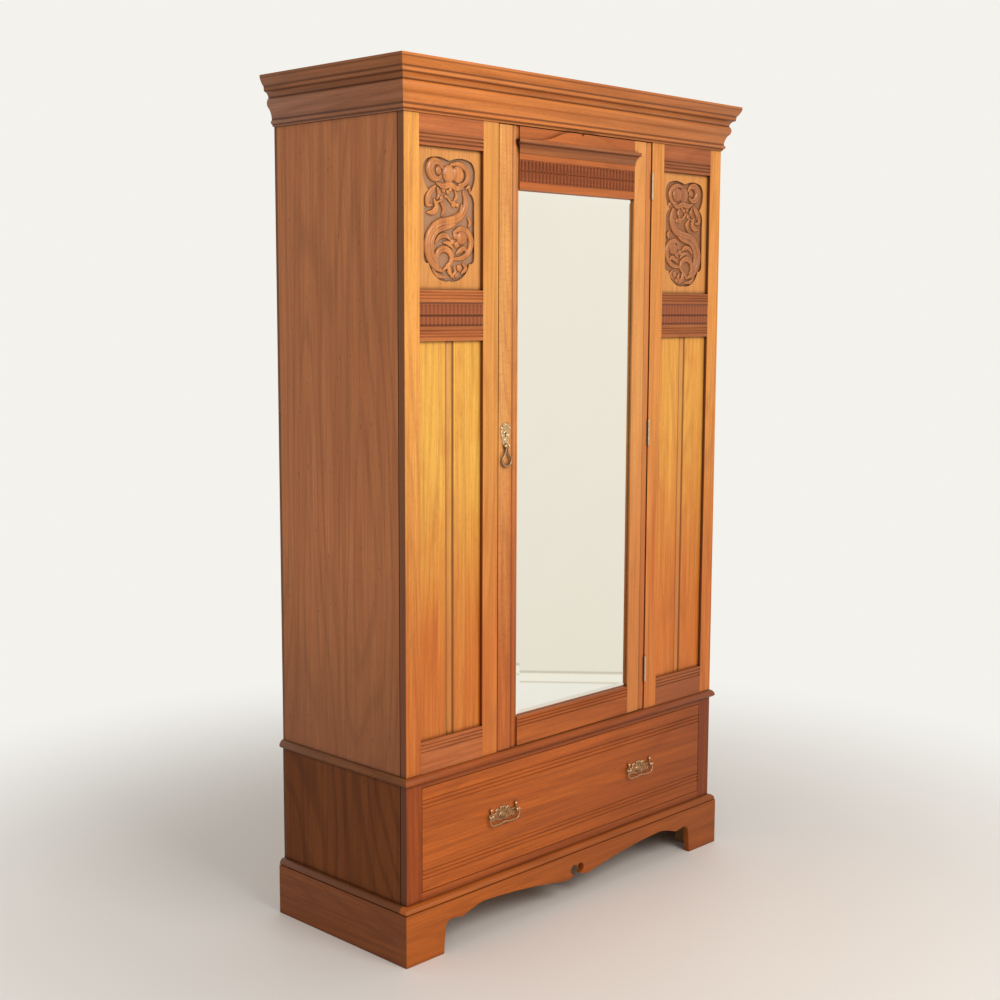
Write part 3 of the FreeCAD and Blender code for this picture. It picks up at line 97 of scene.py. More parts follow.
# Where a tint lies: across the front, from front to back, upward, or on faces that look sideways. It has
# a start, an end, a strength and a colour, and with a line given it spreads from that line both ways.
ACROSS, DEEP, UP, ASIDE = "X", "Y", "Z", "aside"


# Wax and dirt along a quirk, with the shade that falls into it: a dark line, partly dirt and partly painted
# shade
def dark_line(axis, at_mm, half_mm=1.0, strength=0.65, colour="#4A2410"):
    return (axis, at_mm * MM), (half_mm + 1.6) * MM, half_mm * MM, strength, colour


# Satin walnut, stained and French polished: a soft sheen over long streaks, faint nested arches of
# growth rings, straight fibres and short pores, dark wax with painted shade in the corners, and arrises
# painted paler for wear and as a painted highlight.
def satin_walnut(name, grain, pale, middle, deep, figure_mm=120, figure_stretch=FIGURE_STRETCH, rings=0.16,
                 mottle=0.2, ripple=0.0, fibrous=0.32, specked=0.0, polish=0.36, dirt_and_shade=0.85, painted_light=None,
                 tints=(), punched=None, ridge_highlight=0.0, gloss=0.22, boards_mm=0):
    material, tree = new_material(name)
    own = add(tree, "ShaderNodeTexCoord")
    place = own.outputs["Object"]
    surface = add(tree, "ShaderNodeNewGeometry")
    chance = add(tree, "ShaderNodeObjectInfo").outputs["Random"]

    def stretched(times):
        scale = [1.0, 1.0, 1.0]
        scale[grain] = 1 / times
        return add(tree, "ShaderNodeMapping", {"Scale": scale}, {"Vector": moved}).outputs[0]

    def noise(size_mm, times, low, high, detail=2.0, roughness=0.5):
        made = add(tree, "ShaderNodeTexNoise",
                   {"Scale": METRE_IN_MM / size_mm, "Detail": detail, "Roughness": roughness},
                   {"Vector": stretched(times)}).outputs["Fac"]
        return made, ranged(made, low, high)

    def ranged(value, start, end, first=0.0, last=1.0, smooth=False):
        kind = "SMOOTHSTEP" if smooth else "LINEAR"
        return add(tree, "ShaderNodeMapRange",
                   {"From Min": start, "From Max": end, "To Min": first, "To Max": last,
                    "interpolation_type": kind}, {"Value": value}).outputs[0]

    def sized(value):
        return add(tree, "ShaderNodeMath", {"operation": "ABSOLUTE"}, {0: value}).outputs[0]

    def tinted(share, strength, under, over):
        part = add(tree, "ShaderNodeMath", {"operation": "MULTIPLY", 1: strength}, {0: share}).outputs[0]
        return add(tree, "ShaderNodeMix", {"data_type": "RGBA", MIX_B: linear(over)},
                   {0: part, MIX_A: under}).outputs[MIX_COLOUR]

    def measured(kind):
        axis, line = kind if isinstance(kind, tuple) else (kind, None)
        axes = add(tree, "ShaderNodeSeparateXYZ", {}, {0: own.outputs["Normal"] if axis == ASIDE else place})
        if axis == ASIDE:
            return sized(axes.outputs["X"])
        if line is None:
            return axes.outputs[axis]
        off = add(tree, "ShaderNodeMath", {"operation": "SUBTRACT", 1: line}, {0: axes.outputs[axis]})
        return sized(off.outputs[0])

    # every piece is cut from its own part of the log, and so is every board of a row this wide
    apart = add(tree, "ShaderNodeMath", {"operation": "MULTIPLY", 1: LOG_SPREAD}, {0: chance}).outputs[0]
    if boards_mm:
        board = add(tree, "ShaderNodeMath", {"operation": "SNAP", 1: boards_mm * MM},
                    {0: measured(ACROSS)}).outputs[0]
        apart = add(tree, "ShaderNodeMath", {"operation": "MULTIPLY_ADD", 1: LOG_SPREAD},
                    {0: board, 2: apart}).outputs[0]
    moved = add(tree, "ShaderNodeVectorMath", {"operation": "ADD"}, {0: place, 1: apart}).outputs[0]

    figure, _ = noise(figure_mm, figure_stretch, 0, 1, 1.3, 0.4)
    turns = add(tree, "ShaderNodeMath", {"operation": "MULTIPLY", 1: RINGS * 2 * math.pi},
                {0: figure}).outputs[0]
    ring = ranged(add(tree, "ShaderNodeMath", {"operation": "SINE"}, {0: turns}).outputs[0], 0.2, 1.0)
    _, streaks = noise(24, FIGURE_STRETCH * 1.8, 0.34, 0.66, 4.0, 0.6)
    _, clouds = noise(190, 3, 0.36, 0.68)
    _, blotches = noise(42, 2.2, 0.5, 0.72, 2.0, 0.45)
    # real fibres are finer than a pixel, so they are drawn about 2 to 5 mm wide to show
    fibre, fibres = noise(5.0, FIBRE_STRETCH, 0.42, 0.7, 3.0, 0.65)
    _, pores = noise(1.3, PORE_STRETCH, 0.58, 0.74, 1.0)

    colour = add(tree, "ShaderNodeMix", {"data_type": "RGBA", MIX_A: linear(middle), MIX_B: linear(pale)},
                 {0: streaks}).outputs[MIX_COLOUR]
    # painted light: paler and more golden upward and towards the left-hand end, broken by random patches of
    # the wood's own tone
    if painted_light:
        low, high, tint = painted_light
        lift = ranged(measured(UP), low, high, smooth=True)
        kept = ranged(measured(ACROSS), LIGHT_AND_SHADE_LEFT, LIGHT_AND_SHADE_RIGHT, 1.0, 1 - PAINTED_LIGHT_LOST)
        painted_light_share = add(tree, "ShaderNodeMath", {"operation": "MULTIPLY"}, {0: lift, 1: kept}).outputs[0]
        patchy = add(tree, "ShaderNodeMath", {"operation": "ADD"}, {0: clouds, 1: streaks}).outputs[0]
        uneven = add(tree, "ShaderNodeMath", {"operation": "MULTIPLY_ADD", 1: 0.24, 2: -0.26},
                     {0: patchy}).outputs[0]
        share = add(tree, "ShaderNodeMath", {"operation": "ADD", "use_clamp": True},
                    {0: painted_light_share, 1: uneven}).outputs[0]
        colour = tinted(share, 1.0, colour, tint)
    else:
        # painted shade: deeper towards the right-hand end
        tints = ((ACROSS, LIGHT_AND_SHADE_LEFT, LIGHT_AND_SHADE_RIGHT, PAINTED_SHADE_RIGHT, deep), *tints)
    marks = [(clouds, 0.12, deep), (blotches, mottle, middle), (ring, rings, deep), (fibres, fibrous, deep),
             (pores, 0.28, deep)]
    if ripple:
        marks.append((noise(17, 0.2, 0.45, 0.7)[1], ripple, deep))
    if specked:
        marks.append((noise(12, 1.8, 0.72, 0.77, 1.0)[1], specked, deep))
    for share, strength, over in marks:
        colour = tinted(share, strength, colour, over)
    for kind, start, end, strength, over in tints:
        colour = tinted(ranged(measured(kind), start, end), strength, colour, over)
    open_sky = add(tree, "ShaderNodeAmbientOcclusion",
                   {"samples": 6, "Distance": DIRT_AND_SHADE_REACH_MM * MM}).outputs["AO"]
    # arrises painted paler: partly wear, partly a painted highlight along each convex edge
    softened = add(tree, "ShaderNodeBevel", {"samples": 4, "Radius": WEAR_AND_SHEEN_RADIUS_MM * MM}).outputs[0]
    alike = add(tree, "ShaderNodeVectorMath", {"operation": "DOT_PRODUCT"},
                {0: softened, 1: surface.outputs["Normal"]}).outputs["Value"]
    proud = ranged(open_sky, 0.94, 0.99)
    wear_and_sheen = add(tree, "ShaderNodeMath", {"operation": "MULTIPLY"},
               {0: ranged(alike, 0.985, 0.86), 1: proud}).outputs[0]
    colour = tinted(wear_and_sheen, WORN_AND_SHEEN, colour, pale)
    # painted highlight: the convex ridges of a dense mesh are painted paler
    if ridge_highlight:
        colour = tinted(ranged(surface.outputs["Pointiness"], 0.5, 0.56), ridge_highlight, colour, pale)
    # dirt and painted shade: darker wherever the occlusion finds a corner, groove or hollow
    colour = tinted(ranged(open_sky, 0.95, 0.45), dirt_and_shade, colour, CREVICE_DIRT_AND_SHADE)

    rough = ranged(fibre, 0, 1, polish - 0.06, polish + 0.12)
    relief = add(tree, "ShaderNodeMath", {"operation": "SUBTRACT"}, {0: fibre, 1: pores}).outputs[0]
    bump = add(tree, "ShaderNodeBump", {"Strength": 0.25, "Distance": PORE_DEPTH_MM * MM},
               {"Height": relief}).outputs[0]
    if punched:
        level, spacing_mm = punched
        dots = add(tree, "ShaderNodeTexVoronoi", {"Scale": METRE_IN_MM / spacing_mm},
                   {"Vector": place}).outputs["Distance"]
        dots = add(tree, "ShaderNodeMath", {"operation": "MULTIPLY"},
                   {0: dots, 1: ranged(measured(DEEP), level, level + MM)}).outputs[0]
        bump = add(tree, "ShaderNodeBump", {"Strength": 0.9, "Distance": PUNCH_DEPTH_MM * MM},
                   {"Height": dots, "Normal": bump}).outputs[0]
    shader = add(tree, "ShaderNodeBsdfPrincipled", {"IOR": 1.5, "Specular IOR Level": gloss},
                 {"Base Color": colour, "Roughness": rough, "Normal": bump})
    add(tree, "ShaderNodeOutputMaterial", {}, {0: shader.outputs[0]})
    return material


# Softened arrises: years of handling and waxing have rounded every sharp corner a little
def finish(material, *nodes, arris_mm=0.7):
    for name in nodes:
        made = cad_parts[name]
        made.data.materials.clear()
        made.data.materials.append(material)
        if arris_mm:
            weld = made.modifiers.new("joined", "WELD")
            weld.merge_threshold = 0.01 * MM
            arris = made.modifiers.new("arris", "BEVEL")
            arris.width = arris_mm * MM
            arris.segments = 2
            arris.limit_method = "ANGLE"
            arris.angle_limit = math.radians(32)


# Deal, sawn and left bare: pale straw that has gone brown and dusty, with wide soft grain
def bare_deal(name, grain, tints=(), boards_mm=0):
    return satin_walnut(name, grain, "#C29A6B", "#A97F52", "#6E4A2A", figure_mm=95, rings=0.35, polish=0.72,
                        dirt_and_shade=0.6, tints=tints, boards_mm=boards_mm)


plinth_front_wood = satin_walnut("plinth front satin walnut", ALONG_X, "#C1651E", "#AA5517", "#602B0A",
                                 dirt_and_shade=0.45)
# the boards' inner faces are painted near black: painted shade under the case
PLINTH_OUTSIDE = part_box("plinth_sides")[1][0]
plinth_side_wood = satin_walnut("plinth side satin walnut", ALONG_Y, "#904C1B", "#7F4217", "#451F07",
                                dirt_and_shade=0.45,
                                tints=[((ACROSS, 0), PLINTH_OUTSIDE - 8 * MM, PLINTH_OUTSIDE - 12 * MM,
                                        0.92, "#1C0F07")])
# the lengths along the sides have kept a browner polish than the front one
CAP_FRONT_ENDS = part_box("plinth_caps")[0][1] + 22 * MM
plinth_cap_wood = satin_walnut("plinth cap satin walnut", ALONG_X, "#BD6522", "#A6541B", "#5E2A0C", dirt_and_shade=0.4,
                               tints=[(DEEP, CAP_FRONT_ENDS, CAP_FRONT_ENDS + 4 * MM, 0.94, "#6A3C20")])
block_wood = bare_deal("glue block deal", ALONG_Z)
finish(plinth_front_wood, "plinth_front", arris_mm=0.4)
finish(plinth_cap_wood, "plinth_caps", arris_mm=0.3)
finish(plinth_side_wood, "plinth_sides", arris_mm=0.4)
finish(block_wood, "glue_blocks")

# Base case
# The box that holds the drawer: two polished sides, stiles and rails in front, and a top board with a
# planted waist moulding. Deal back, runners, guides and kickers stay unpolished.
base_side_wood = satin_walnut("base side satin walnut", ALONG_Z, "#844B24", "#743F1E", "#3E1D0C",
                              figure_mm=240, figure_stretch=4, rings=0.3, fibrous=0.3, specked=0.25,
                              gloss=0.06)
base_frame_wood = satin_walnut("base frame satin walnut", ALONG_X, "#B75D20", "#A04C18", "#4E2209")
# painted shade: the faces that look sideways are painted darker
base_stile_wood = satin_walnut("base stile satin walnut", ALONG_Z, "#AF5318", "#984311", "#4A1D06",
                               tints=[(ASIDE, 0.5, 0.85, 0.92, "#5C3119")])
waist_side_wood = satin_walnut("waist side satin walnut", ALONG_Y, "#8C5326", "#77431D", "#381A08")
finish(base_side_wood, "base_sides")
finish(base_stile_wood, "base_stiles")
finish(base_frame_wood, "drawer_rail_upper", "drawer_rail_lower", "waist_front")
finish(waist_side_wood, "waist_returns")
base_inside_wood = bare_deal("base lining deal", ALONG_X, [(ASIDE, 0.5, 0.85, 0.9, "#5A3018")])
runner_wood = bare_deal("drawer runner deal", ALONG_Y)
finish(base_inside_wood, "base_top", "base_back")
finish(runner_wood, "drawer_runners", "drawer_guides")

# Drawer
# One wide drawer: a reeded satin walnut front with long dark streaks, and a box of thin pale wood
# joined by lapped dovetails, with a bottom that slides in grooves.
drawer_front_wood = satin_walnut("drawer front satin walnut", ALONG_X, "#CE6A21", "#B4581B", "#612A08",
                                 figure_mm=150, dirt_and_shade=0.5, tints=[(ACROSS, 0.1, 0.55, 0.15, "#602A08")])
# Ash, planed and left unpolished: pale and straight, browned by handling
drawer_side_wood, drawer_back_wood = [
    satin_walnut(name, grain, "#CBA878", "#B8925F", "#7E5A34", rings=0.3, polish=0.6, dirt_and_shade=0.5)
    for name, grain in (("drawer side ash", ALONG_Y), ("drawer back ash", ALONG_X))]
finish(drawer_front_wood, "drawer_front", arris_mm=0.4)
finish(drawer_side_wood, "drawer_sides")
finish(drawer_back_wood, "drawer_back", "drawer_bottom")

# Upper case
# Two tall polished side boards, a top and a floor, a back of tongued deal boards, and inside a turned
# hanging rail in two wooden sockets.
# painted shade: the sides are painted darker towards the bottom
side_wood = satin_walnut("side satin walnut", ALONG_Z, "#CC814F", "#BB7243", "#724325", figure_mm=200,
                         figure_stretch=8, rings=0.22, fibrous=0.34, specked=0.35, polish=0.4,
                         tints=[(UP, 0.95, 0.5, 0.5, "#663418")])
case_board_wood = satin_walnut("case board satin walnut", ALONG_X, "#A56B42", "#8F5935", "#54301A",
                               polish=0.45)
BACK_BOARDS = 8
back_low, back_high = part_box("back_boards")
back_wood = bare_deal("back board deal", ALONG_Z, [(ASIDE, 0.5, 0.85, 0.9, "#7A4E33")],
                      METRE_IN_MM * (back_high[0] - back_low[0]) / BACK_BOARDS)
# Beech: plain and even, rubbed smooth by hangers
rail_wood = satin_walnut("hanging rail beech", ALONG_X, "#C29262", "#B07F50", "#6F4A2A", polish=0.4)
finish(side_wood, "side_left", "side_right")
finish(case_board_wood, "case_top", "case_floor")
finish(back_wood, "back_boards")
finish(rail_wood, "hanging_rail", "rail_sockets")

# Side bays
# Fixed frames beside the door. Stiles run the full height, with a reeded rail at the top and bottom, a
# fluted rail between, two golden matched boards below it and a carved panel above.
# painted shade: the stiles' faces that look sideways are painted darker, the inner stiles' reveals nearly
# black
stile_wood = satin_walnut("stile satin walnut", ALONG_Z, "#D77832", "#C76828", "#844013",
                          painted_light=(0.45, 1.3, "#F7AE53"),
                          tints=[(ASIDE, 0.5, 0.85, 0.92, "#6E3E22")])
inner_stile_wood = satin_walnut("inner stile satin walnut", ALONG_Z, "#DE8138", "#CD702E", "#884516",
                                painted_light=(0.5, 1.4, "#E9A14F"),
                                dirt_and_shade=0.6, tints=[(ASIDE, 0.5, 0.85, 0.92, "#7E3410")])
# painted shade: a darker band across the top rails' lower moulding
rail_front_wood = satin_walnut("rail satin walnut", ALONG_X, "#D27A43", "#BD6835", "#602D13",
                               dirt_and_shade=0.65, tints=[((UP, 1.884), 17 * MM, 12 * MM, 0.4, "#7A4A2A")])
FLUTES_MIDDLE, FLUTES_HALF = 1497, 25
flute_tints = [((UP, FLUTES_MIDDLE * MM), (FLUTES_HALF + 2) * MM, (FLUTES_HALF - 1) * MM, 0.8, "#9A5434"),
               dark_line(UP, FLUTES_MIDDLE + FLUTES_HALF, 1.5),
               dark_line(UP, FLUTES_MIDDLE - FLUTES_HALF, 2.0), dark_line(UP, FLUTES_MIDDLE - 3, 2.0)]
frieze_rail_wood = satin_walnut("fluted rail satin walnut", ALONG_X, "#D07C42", "#BA6835", "#5E2D14",
                                dirt_and_shade=0.3, tints=flute_tints)
BAY_MIDDLE, BEAD_QUIRK = 432.25, 10.5
bead_tints = []
for side in (-1, 1):
    bead_tints.append(((ACROSS, side * BAY_MIDDLE * MM), 13 * MM, 9 * MM, 0.45, "#C8884A"))
    bead_tints.append(dark_line(ACROSS, side * BAY_MIDDLE - BEAD_QUIRK, 1.6, 0.6, "#7A4420"))
    bead_tints.append(dark_line(ACROSS, side * BAY_MIDDLE + BEAD_QUIRK, 1.8, 0.75, "#6A3818"))
board_wood = satin_walnut("matched board satin walnut", ALONG_Z, "#DC7F35", "#CC702B", "#944916",
                          figure_mm=130, mottle=0.3,
                          dirt_and_shade=0.55, tints=bead_tints, painted_light=(0.55, 1.3, "#F8BE54"))
PANEL_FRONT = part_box("carved_panel_left")[0][1]
CARTOUCHE_DEPTH = 4.5
GROUND_FROM = PANEL_FRONT + 2 * MM
# the ground was stained to throw up the carving; the right-hand ground is painted darker still, painted shade
for side, flat, ground in (("left", "#E29D55", "#A97E60"), ("right", "#DE984E", "#94603F")):
    panel_wood = satin_walnut(side + " panel satin walnut", ALONG_Z, "#DD9A55", "#D38D47", "#9E5A25",
                              painted_light=(1.5, 1.6, flat),
                              tints=[(DEEP, GROUND_FROM, GROUND_FROM + MM, 0.92, ground)],
                              punched=(GROUND_FROM, 3.0))
    finish(panel_wood, "carved_panel_" + side, arris_mm=0.5)
finish(stile_wood, "outer_stiles")
finish(inner_stile_wood, "inner_stile_left", "inner_stile_right")
finish(rail_front_wood, "top_rails", "bottom_rails", arris_mm=0.4)
finish(frieze_rail_wood, "fluted_rails", arris_mm=0.3)
finish(board_wood, "lower_boards", arris_mm=0.3)

# Carving
# Scrolling foliage cut from a thicker board and left standing on a ground that was sunk and punched
# all over: a long stem with an S bend, curled leaves at its foot and head, buds and berries between.
FALL = 1.3


def grid_over(low_u, low_v, high_u, high_v, step):
    return np.meshgrid(np.arange(low_u, high_u + step, step), np.arange(low_v, high_v + step, step))


# A smooth line through given rows of numbers, with this many steps between two rows
def flowing(rows, steps=6, closed=False):
    rows = np.array(rows, float)
    if closed:
        rows = np.vstack([rows[-1], rows, rows[0], rows[1]])
    else:
        rows = np.vstack([2 * rows[0] - rows[1], rows, 2 * rows[-1] - rows[-2]])
    first, start, end, last = rows[:-3, None], rows[1:-2, None], rows[2:-1, None], rows[3:, None]
    t = np.linspace(0, 1, steps, endpoint=False)[None, :, None]
    line = 0.5 * (2 * start + (end - first) * t + (2 * first - 5 * start + 4 * end - last) * t ** 2
                  + (3 * start - first - 3 * end + last) * t ** 3)
    line = line.reshape(-1, rows.shape[1])
    return line if closed else np.vstack([line, rows[-2]])


# Distance of every grid point from a line, and the line's third column where it is nearest
def nearest(grid, line):
    point = np.stack([grid[0].ravel(), grid[1].ravel()], 1)[:, None]
    start, run = line[None, :-1], (line[1:] - line[:-1])[None]
    length = np.maximum((run[..., :2] ** 2).sum(2), 1e-9)
    share = np.clip(((point - start[..., :2]) * run[..., :2]).sum(2) / length, 0, 1)
    gap = np.linalg.norm(point - start[..., :2] - share[..., None] * run[..., :2], axis=2)
    best = gap.argmin(1)
    rows = np.arange(len(best))
    width = start[0, best, 2] + share[rows, best] * run[0, best, 2]
    return gap[rows, best].reshape(grid[0].shape), width.reshape(grid[0].shape)


# A rounded ridge along rows of (across, up, half width), with a groove down its middle if asked
def ridge(grid, rows, rise, vein=0.0):
    gap, half = nearest(grid, flowing(rows))
    across = gap / half
    top = rise * np.sqrt(half / max(row[2] for row in rows)) * np.sqrt(np.clip(1 - across ** 2, 0, 1))
    top -= vein * np.exp(-(across / 0.26) ** 2)
    return np.where(across < 1, top, (half - gap) * FALL)


def dome(grid, across, up, half_across, half_up, rise):
    reach = np.hypot((grid[0] - across) / half_across, (grid[1] - up) / half_up)
    top = rise * np.sqrt(np.clip(1 - reach ** 2, 0, 1))
    return np.where(reach < 1, top, (1 - reach) * min(half_across, half_up) * FALL)


# A closed solid from a grid of heights: its front follows them wherever they are above the floor, and
# its flat back lies at the floor, inside what carries it
def solid_from(grid, heights, floor):
    kept = heights > floor
    cell = kept[:-1, :-1] & kept[1:, :-1] & kept[:-1, 1:] & kept[1:, 1:]
    number = np.arange(heights.size).reshape(heights.shape)
    corners = [number[:-1, :-1], number[:-1, 1:], number[1:, 1:], number[1:, :-1]]
    fronts = np.stack([corner[cell] for corner in corners], 1)
    rim = np.pad(cell, 1)
    besides = [rim[:-2, 1:-1], rim[1:-1, 2:], rim[2:, 1:-1], rim[1:-1, :-2]]
    walls = []
    for side, beside in enumerate(besides):
        lone = cell & ~beside
        one, other = corners[side][lone], corners[(side + 1) % 4][lone]
        walls.append(np.stack([other, one, one + heights.size, other + heights.size], 1))
    faces = np.vstack([fronts, fronts[:, ::-1] + heights.size, *walls])
    flat = np.full(heights.size, floor)
    points = np.vstack([np.stack([grid[0].ravel(), deep, grid[1].ravel()], 1)
                        for deep in (heights.ravel(), flat)])
    used, faces = np.unique(faces, return_inverse=True)
    return points[used], faces.reshape(-1, 4).tolist()


# One piece from parts with points (across, outward, up) in mm about a place on the front, or on the back
# where it faces the other way
def new_piece(name, parts, place, material, body, replaced=(), facing=1):
    points, faces = [], []
    for part_points, part_faces in parts:
        start = len(points)
        points += [(place[0] + facing * u, place[1] - facing * out, place[2] + v)
                   for u, out, v in part_points.tolist()]
        faces += [[start + corner for corner in face] for face in part_faces]
    mesh = bpy.data.meshes.new(name)
    mesh.from_pydata([tuple(MM * value for value in point) for point in points], [], faces)
    mesh.shade_smooth()
    mesh.materials.append(material)
    made = bpy.data.objects.new(name, mesh)
    bpy.context.scene.collection.objects.link(made)
    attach(made, body)
    if replaced:
        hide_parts(*replaced)
    return made


def box_mm(node):
    low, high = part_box(node)
    return [METRE_IN_MM * value for value in low], [METRE_IN_MM * value for value in high]


CARVING_STEP = 1.1
CARVING_RISE = 8.2
FULLER = 1.26
CARTOUCHE_HEIGHT, CARTOUCHE_HALF = 275, 84
stem = [(46, 201, 2.5), (53, 180, 6), (48, 159, 8), (29, 142, 8.5), (0, 134, 8), (-28, 129, 8), (-51, 114, 8),
        (-65, 92, 8), (-67, 70, 8), (-59, 47, 7), (-41, 30, 6), (-17, 21, 2.5)]
inner_strand = [(41, 172, 2), (36, 152, 4.5), (16, 129, 5), (-10, 119, 5), (-34, 111, 5), (-49, 94, 5.5),
                (-53, 72, 5.5), (-46, 50, 5), (-30, 34, 2)]
inner_curl = [(-33, 27, 3), (-39, 45, 5), (-34, 63, 6), (-17, 72, 6.5), (1, 67, 6), (9, 53, 5.5), (3, 40, 4),
              (-6, 36, 2.5)]
right_curl = [(16, 50, 3), (44, 54, 5), (65, 70, 6), (71, 92, 7), (59, 111, 6), (36, 118, 5), (16, 109, 3)]
head_left = [(-19, 251, 3.5), (-30, 262, 6), (-48, 262, 8.5), (-59, 247, 9.5), (-51, 230, 8), (-36, 225, 5),
             (-24, 231, 3)]
head_right = [(8, 259, 3), (31, 262, 4.5), (53, 252, 5.5), (60, 236, 6), (51, 220, 5), (33, 215, 3)]
veined = [stem, inner_strand, inner_curl, right_curl, head_left, head_right,
          [(-41, 86, 2), (-27, 99, 5), (-9, 101, 5), (4, 93, 2)], [(-16, 86, 2), (0, 84, 5), (12, 74, 2)],
          [(-41, 210, 2), (-53, 199, 6), (-64, 186, 7), (-66, 169, 5), (-51, 166, 2)],
          [(-17, 25, 2), (-3, 32, 5), (2, 21, 5), (16, 7, 2)],
          [(44, 40, 2), (53, 29, 5), (40, 18, 2)], [(-51, 25, 2), (-35, 12, 5), (-11, 8, 2)],
          [(-37, 216, 2), (-17, 210, 6), (5, 214, 6), (27, 207, 5), (45, 212, 2)],
          [(-66, 150, 2), (-48, 152, 6), (-38, 164, 6), (-44, 178, 3)],
          [(60, 66, 2), (48, 74, 5), (36, 70, 5), (24, 62, 2)]]
plain = [[(55, 208, 2), (63, 213, 4), (67, 199, 2)], [(-21, 180, 2.5), (-43, 171, 2.5)],
         [(-23, 174, 3), (-14, 160, 5.5), (-21, 145, 2)], [(61, 142, 2), (67, 133, 4), (63, 124, 2)],
         [(16, 32, 2), (20, 21, 4), (8, 10, 2)], [(-9, 190, 2), (4, 178, 2), (16, 172, 2)],
         [(20, 203, 2), (24, 190, 4), (18, 180, 2)], [(-34, 204, 3), (-30, 192, 4.5), (-36, 182, 2)]]
buds = [(42, 98, 17, 16), (22, 102, 8, 8), (12, 88, 7, 7), (26, 82, 8, 8), (0, 238, 19, 20),
        (29, 238, 20, 19), (-31, 244, 9, 10), (-15, 201, 6, 6), (-2, 198, 6, 6), (-9, 188, 5, 5),
        (-21, 183, 7, 7), (6, 204, 5, 5), (16, 172, 8, 8), (28, 170, 6, 6), (34, 30, 9, 9), (24, 14, 7, 7)]
carving_grid = grid_over(-CARTOUCHE_HALF, 0, CARTOUCHE_HALF, CARTOUCHE_HEIGHT, CARVING_STEP)
# far below any floor, so nothing is made there
NOWHERE = -9.0
carving = np.full(carving_grid[0].shape, NOWHERE)
for rows in veined + plain:
    rows = [(u, v, FULLER * half) for u, v, half in rows]
    widest = max(half for _, _, half in rows)
    rise = CARVING_RISE * min(0.4 + 0.045 * widest, 1)
    carving = np.maximum(carving, ridge(carving_grid, rows, rise, 0.2 * rise if widest > 6 else 0))
for across, up, half_across, half_up in buds:
    bud = dome(carving_grid, across, up, half_across, half_up, 2.2 + 0.24 * half_across)
    carving = np.maximum(carving, bud)
# how far the back of an applied piece lies inside what carries it, in mm
BURIED = -0.6
# painted shade: the carving is painted darker towards the right
carved_wood = satin_walnut("carved satin walnut", ALONG_Z, "#EA974C", "#BE6F31", "#64300F", polish=0.2,
                           dirt_and_shade=0.65, ridge_highlight=0.7, gloss=0.55,
                           tints=[(ACROSS, 0.0, 0.4, 0.42, "#8A4420")])
for side, heights in (("left", carving), ("right", carving[:, ::-1])):
    panel_low, panel_high = box_mm("carved_panel_" + side)
    middle = (panel_low[0] + panel_high[0]) / 2
    foot = (panel_low[2] + panel_high[2] - CARTOUCHE_HEIGHT) / 2
    new_piece("carving_" + side, [solid_from(carving_grid, heights, BURIED)],
              (middle, panel_low[1] + CARTOUCHE_DEPTH, foot), carved_wood, "case")

# Mirror door
# A framed door: two beaded stiles, a head with a fluted frieze, small cornice ledge and shaped tablet,
# a reeded bottom rail, and a bevelled mirror held by a thin backboard.
door_stile_wood = satin_walnut("door stile satin walnut", ALONG_Z, "#CC6D2D", "#BD6028", "#773713",
                               painted_light=(0.55, 1.35, "#F0AA5D"), ripple=0.14,
                               tints=[((ACROSS, -0.228), 22 * MM, 8 * MM, 0.4, "#BE6228"),
                                      ((ACROSS, 0.24), 40 * MM, 25 * MM, 0.3, "#F0AA5D"),
                                      ((ACROSS, 0.272), 14 * MM, 8 * MM, 0.5, "#B85E2C"),
                                      dark_line(ACROSS, -235), dark_line(ACROSS, -219),
                                      dark_line(ACROSS, 259)])
door_rail_wood = satin_walnut("door rail satin walnut", ALONG_X, "#CD6E2B", "#B85C1F", "#622C0C",
                              dirt_and_shade=0.55, tints=[(UP, 1.7, 1.8, 0.12, "#DC9058")])
# painted shade: the ledge's ends, which look sideways, are painted nearly black
door_ledge_wood = satin_walnut("door ledge satin walnut", ALONG_X, "#B8703F", "#A05C2F", "#502510",
                               tints=[(ASIDE, 0.5, 0.85, 0.95, "#2A140A"), dark_line(UP, 1893, 1.5)])
door_frieze_wood = satin_walnut("door frieze satin walnut", ALONG_X, "#B4643A", "#9E5430", "#451E0B",
                                dirt_and_shade=0.75, gloss=0.1)
finish(door_stile_wood, "door_closing_stile", "door_hinge_stile", arris_mm=0.4)
finish(door_rail_wood, "door_top_rail", "door_bottom_rail", "door_tablet", arris_mm=0.4)
finish(door_ledge_wood, "door_ledge", arris_mm=0.4)
finish(door_frieze_wood, "door_frieze", arris_mm=0.3)
finish(bare_deal("mirror backboard deal", ALONG_Z), "mirror_backboard")
SMEAR_MM = 180
# Silvered plate glass with a ground bevel: reflects almost all, with the faint green of old glass
silvered_glass, tree = new_material("silvered plate glass")
place = add(tree, "ShaderNodeTexCoord").outputs["Object"]
smear = add(tree, "ShaderNodeTexNoise", {"Scale": METRE_IN_MM / SMEAR_MM, "Detail": 3.0},
            {"Vector": place}).outputs["Fac"]
haze = add(tree, "ShaderNodeMapRange", {"To Min": 0.01, "To Max": 0.035}, {"Value": smear}).outputs[0]
tint = add(tree, "ShaderNodeMix", {"data_type": "RGBA", MIX_A: linear("#F8F7F0"), MIX_B: linear("#F3F3EA")},
           {0: smear}).outputs[MIX_COLOUR]
shader = add(tree, "ShaderNodeBsdfPrincipled", {"Metallic": 1.0}, {"Base Color": tint, "Roughness": haze})
add(tree, "ShaderNodeOutputMaterial", {}, {0: shader.outputs[0]})
finish(silvered_glass, "mirror_plate", arris_mm=0)

# Hinges and lock
# Three butt hinges, a cut lock with its bolt, and a strike plate, all rolled and filed mild steel that
# has yellowed under old lacquer.
SCRATCH_MM = 0.5
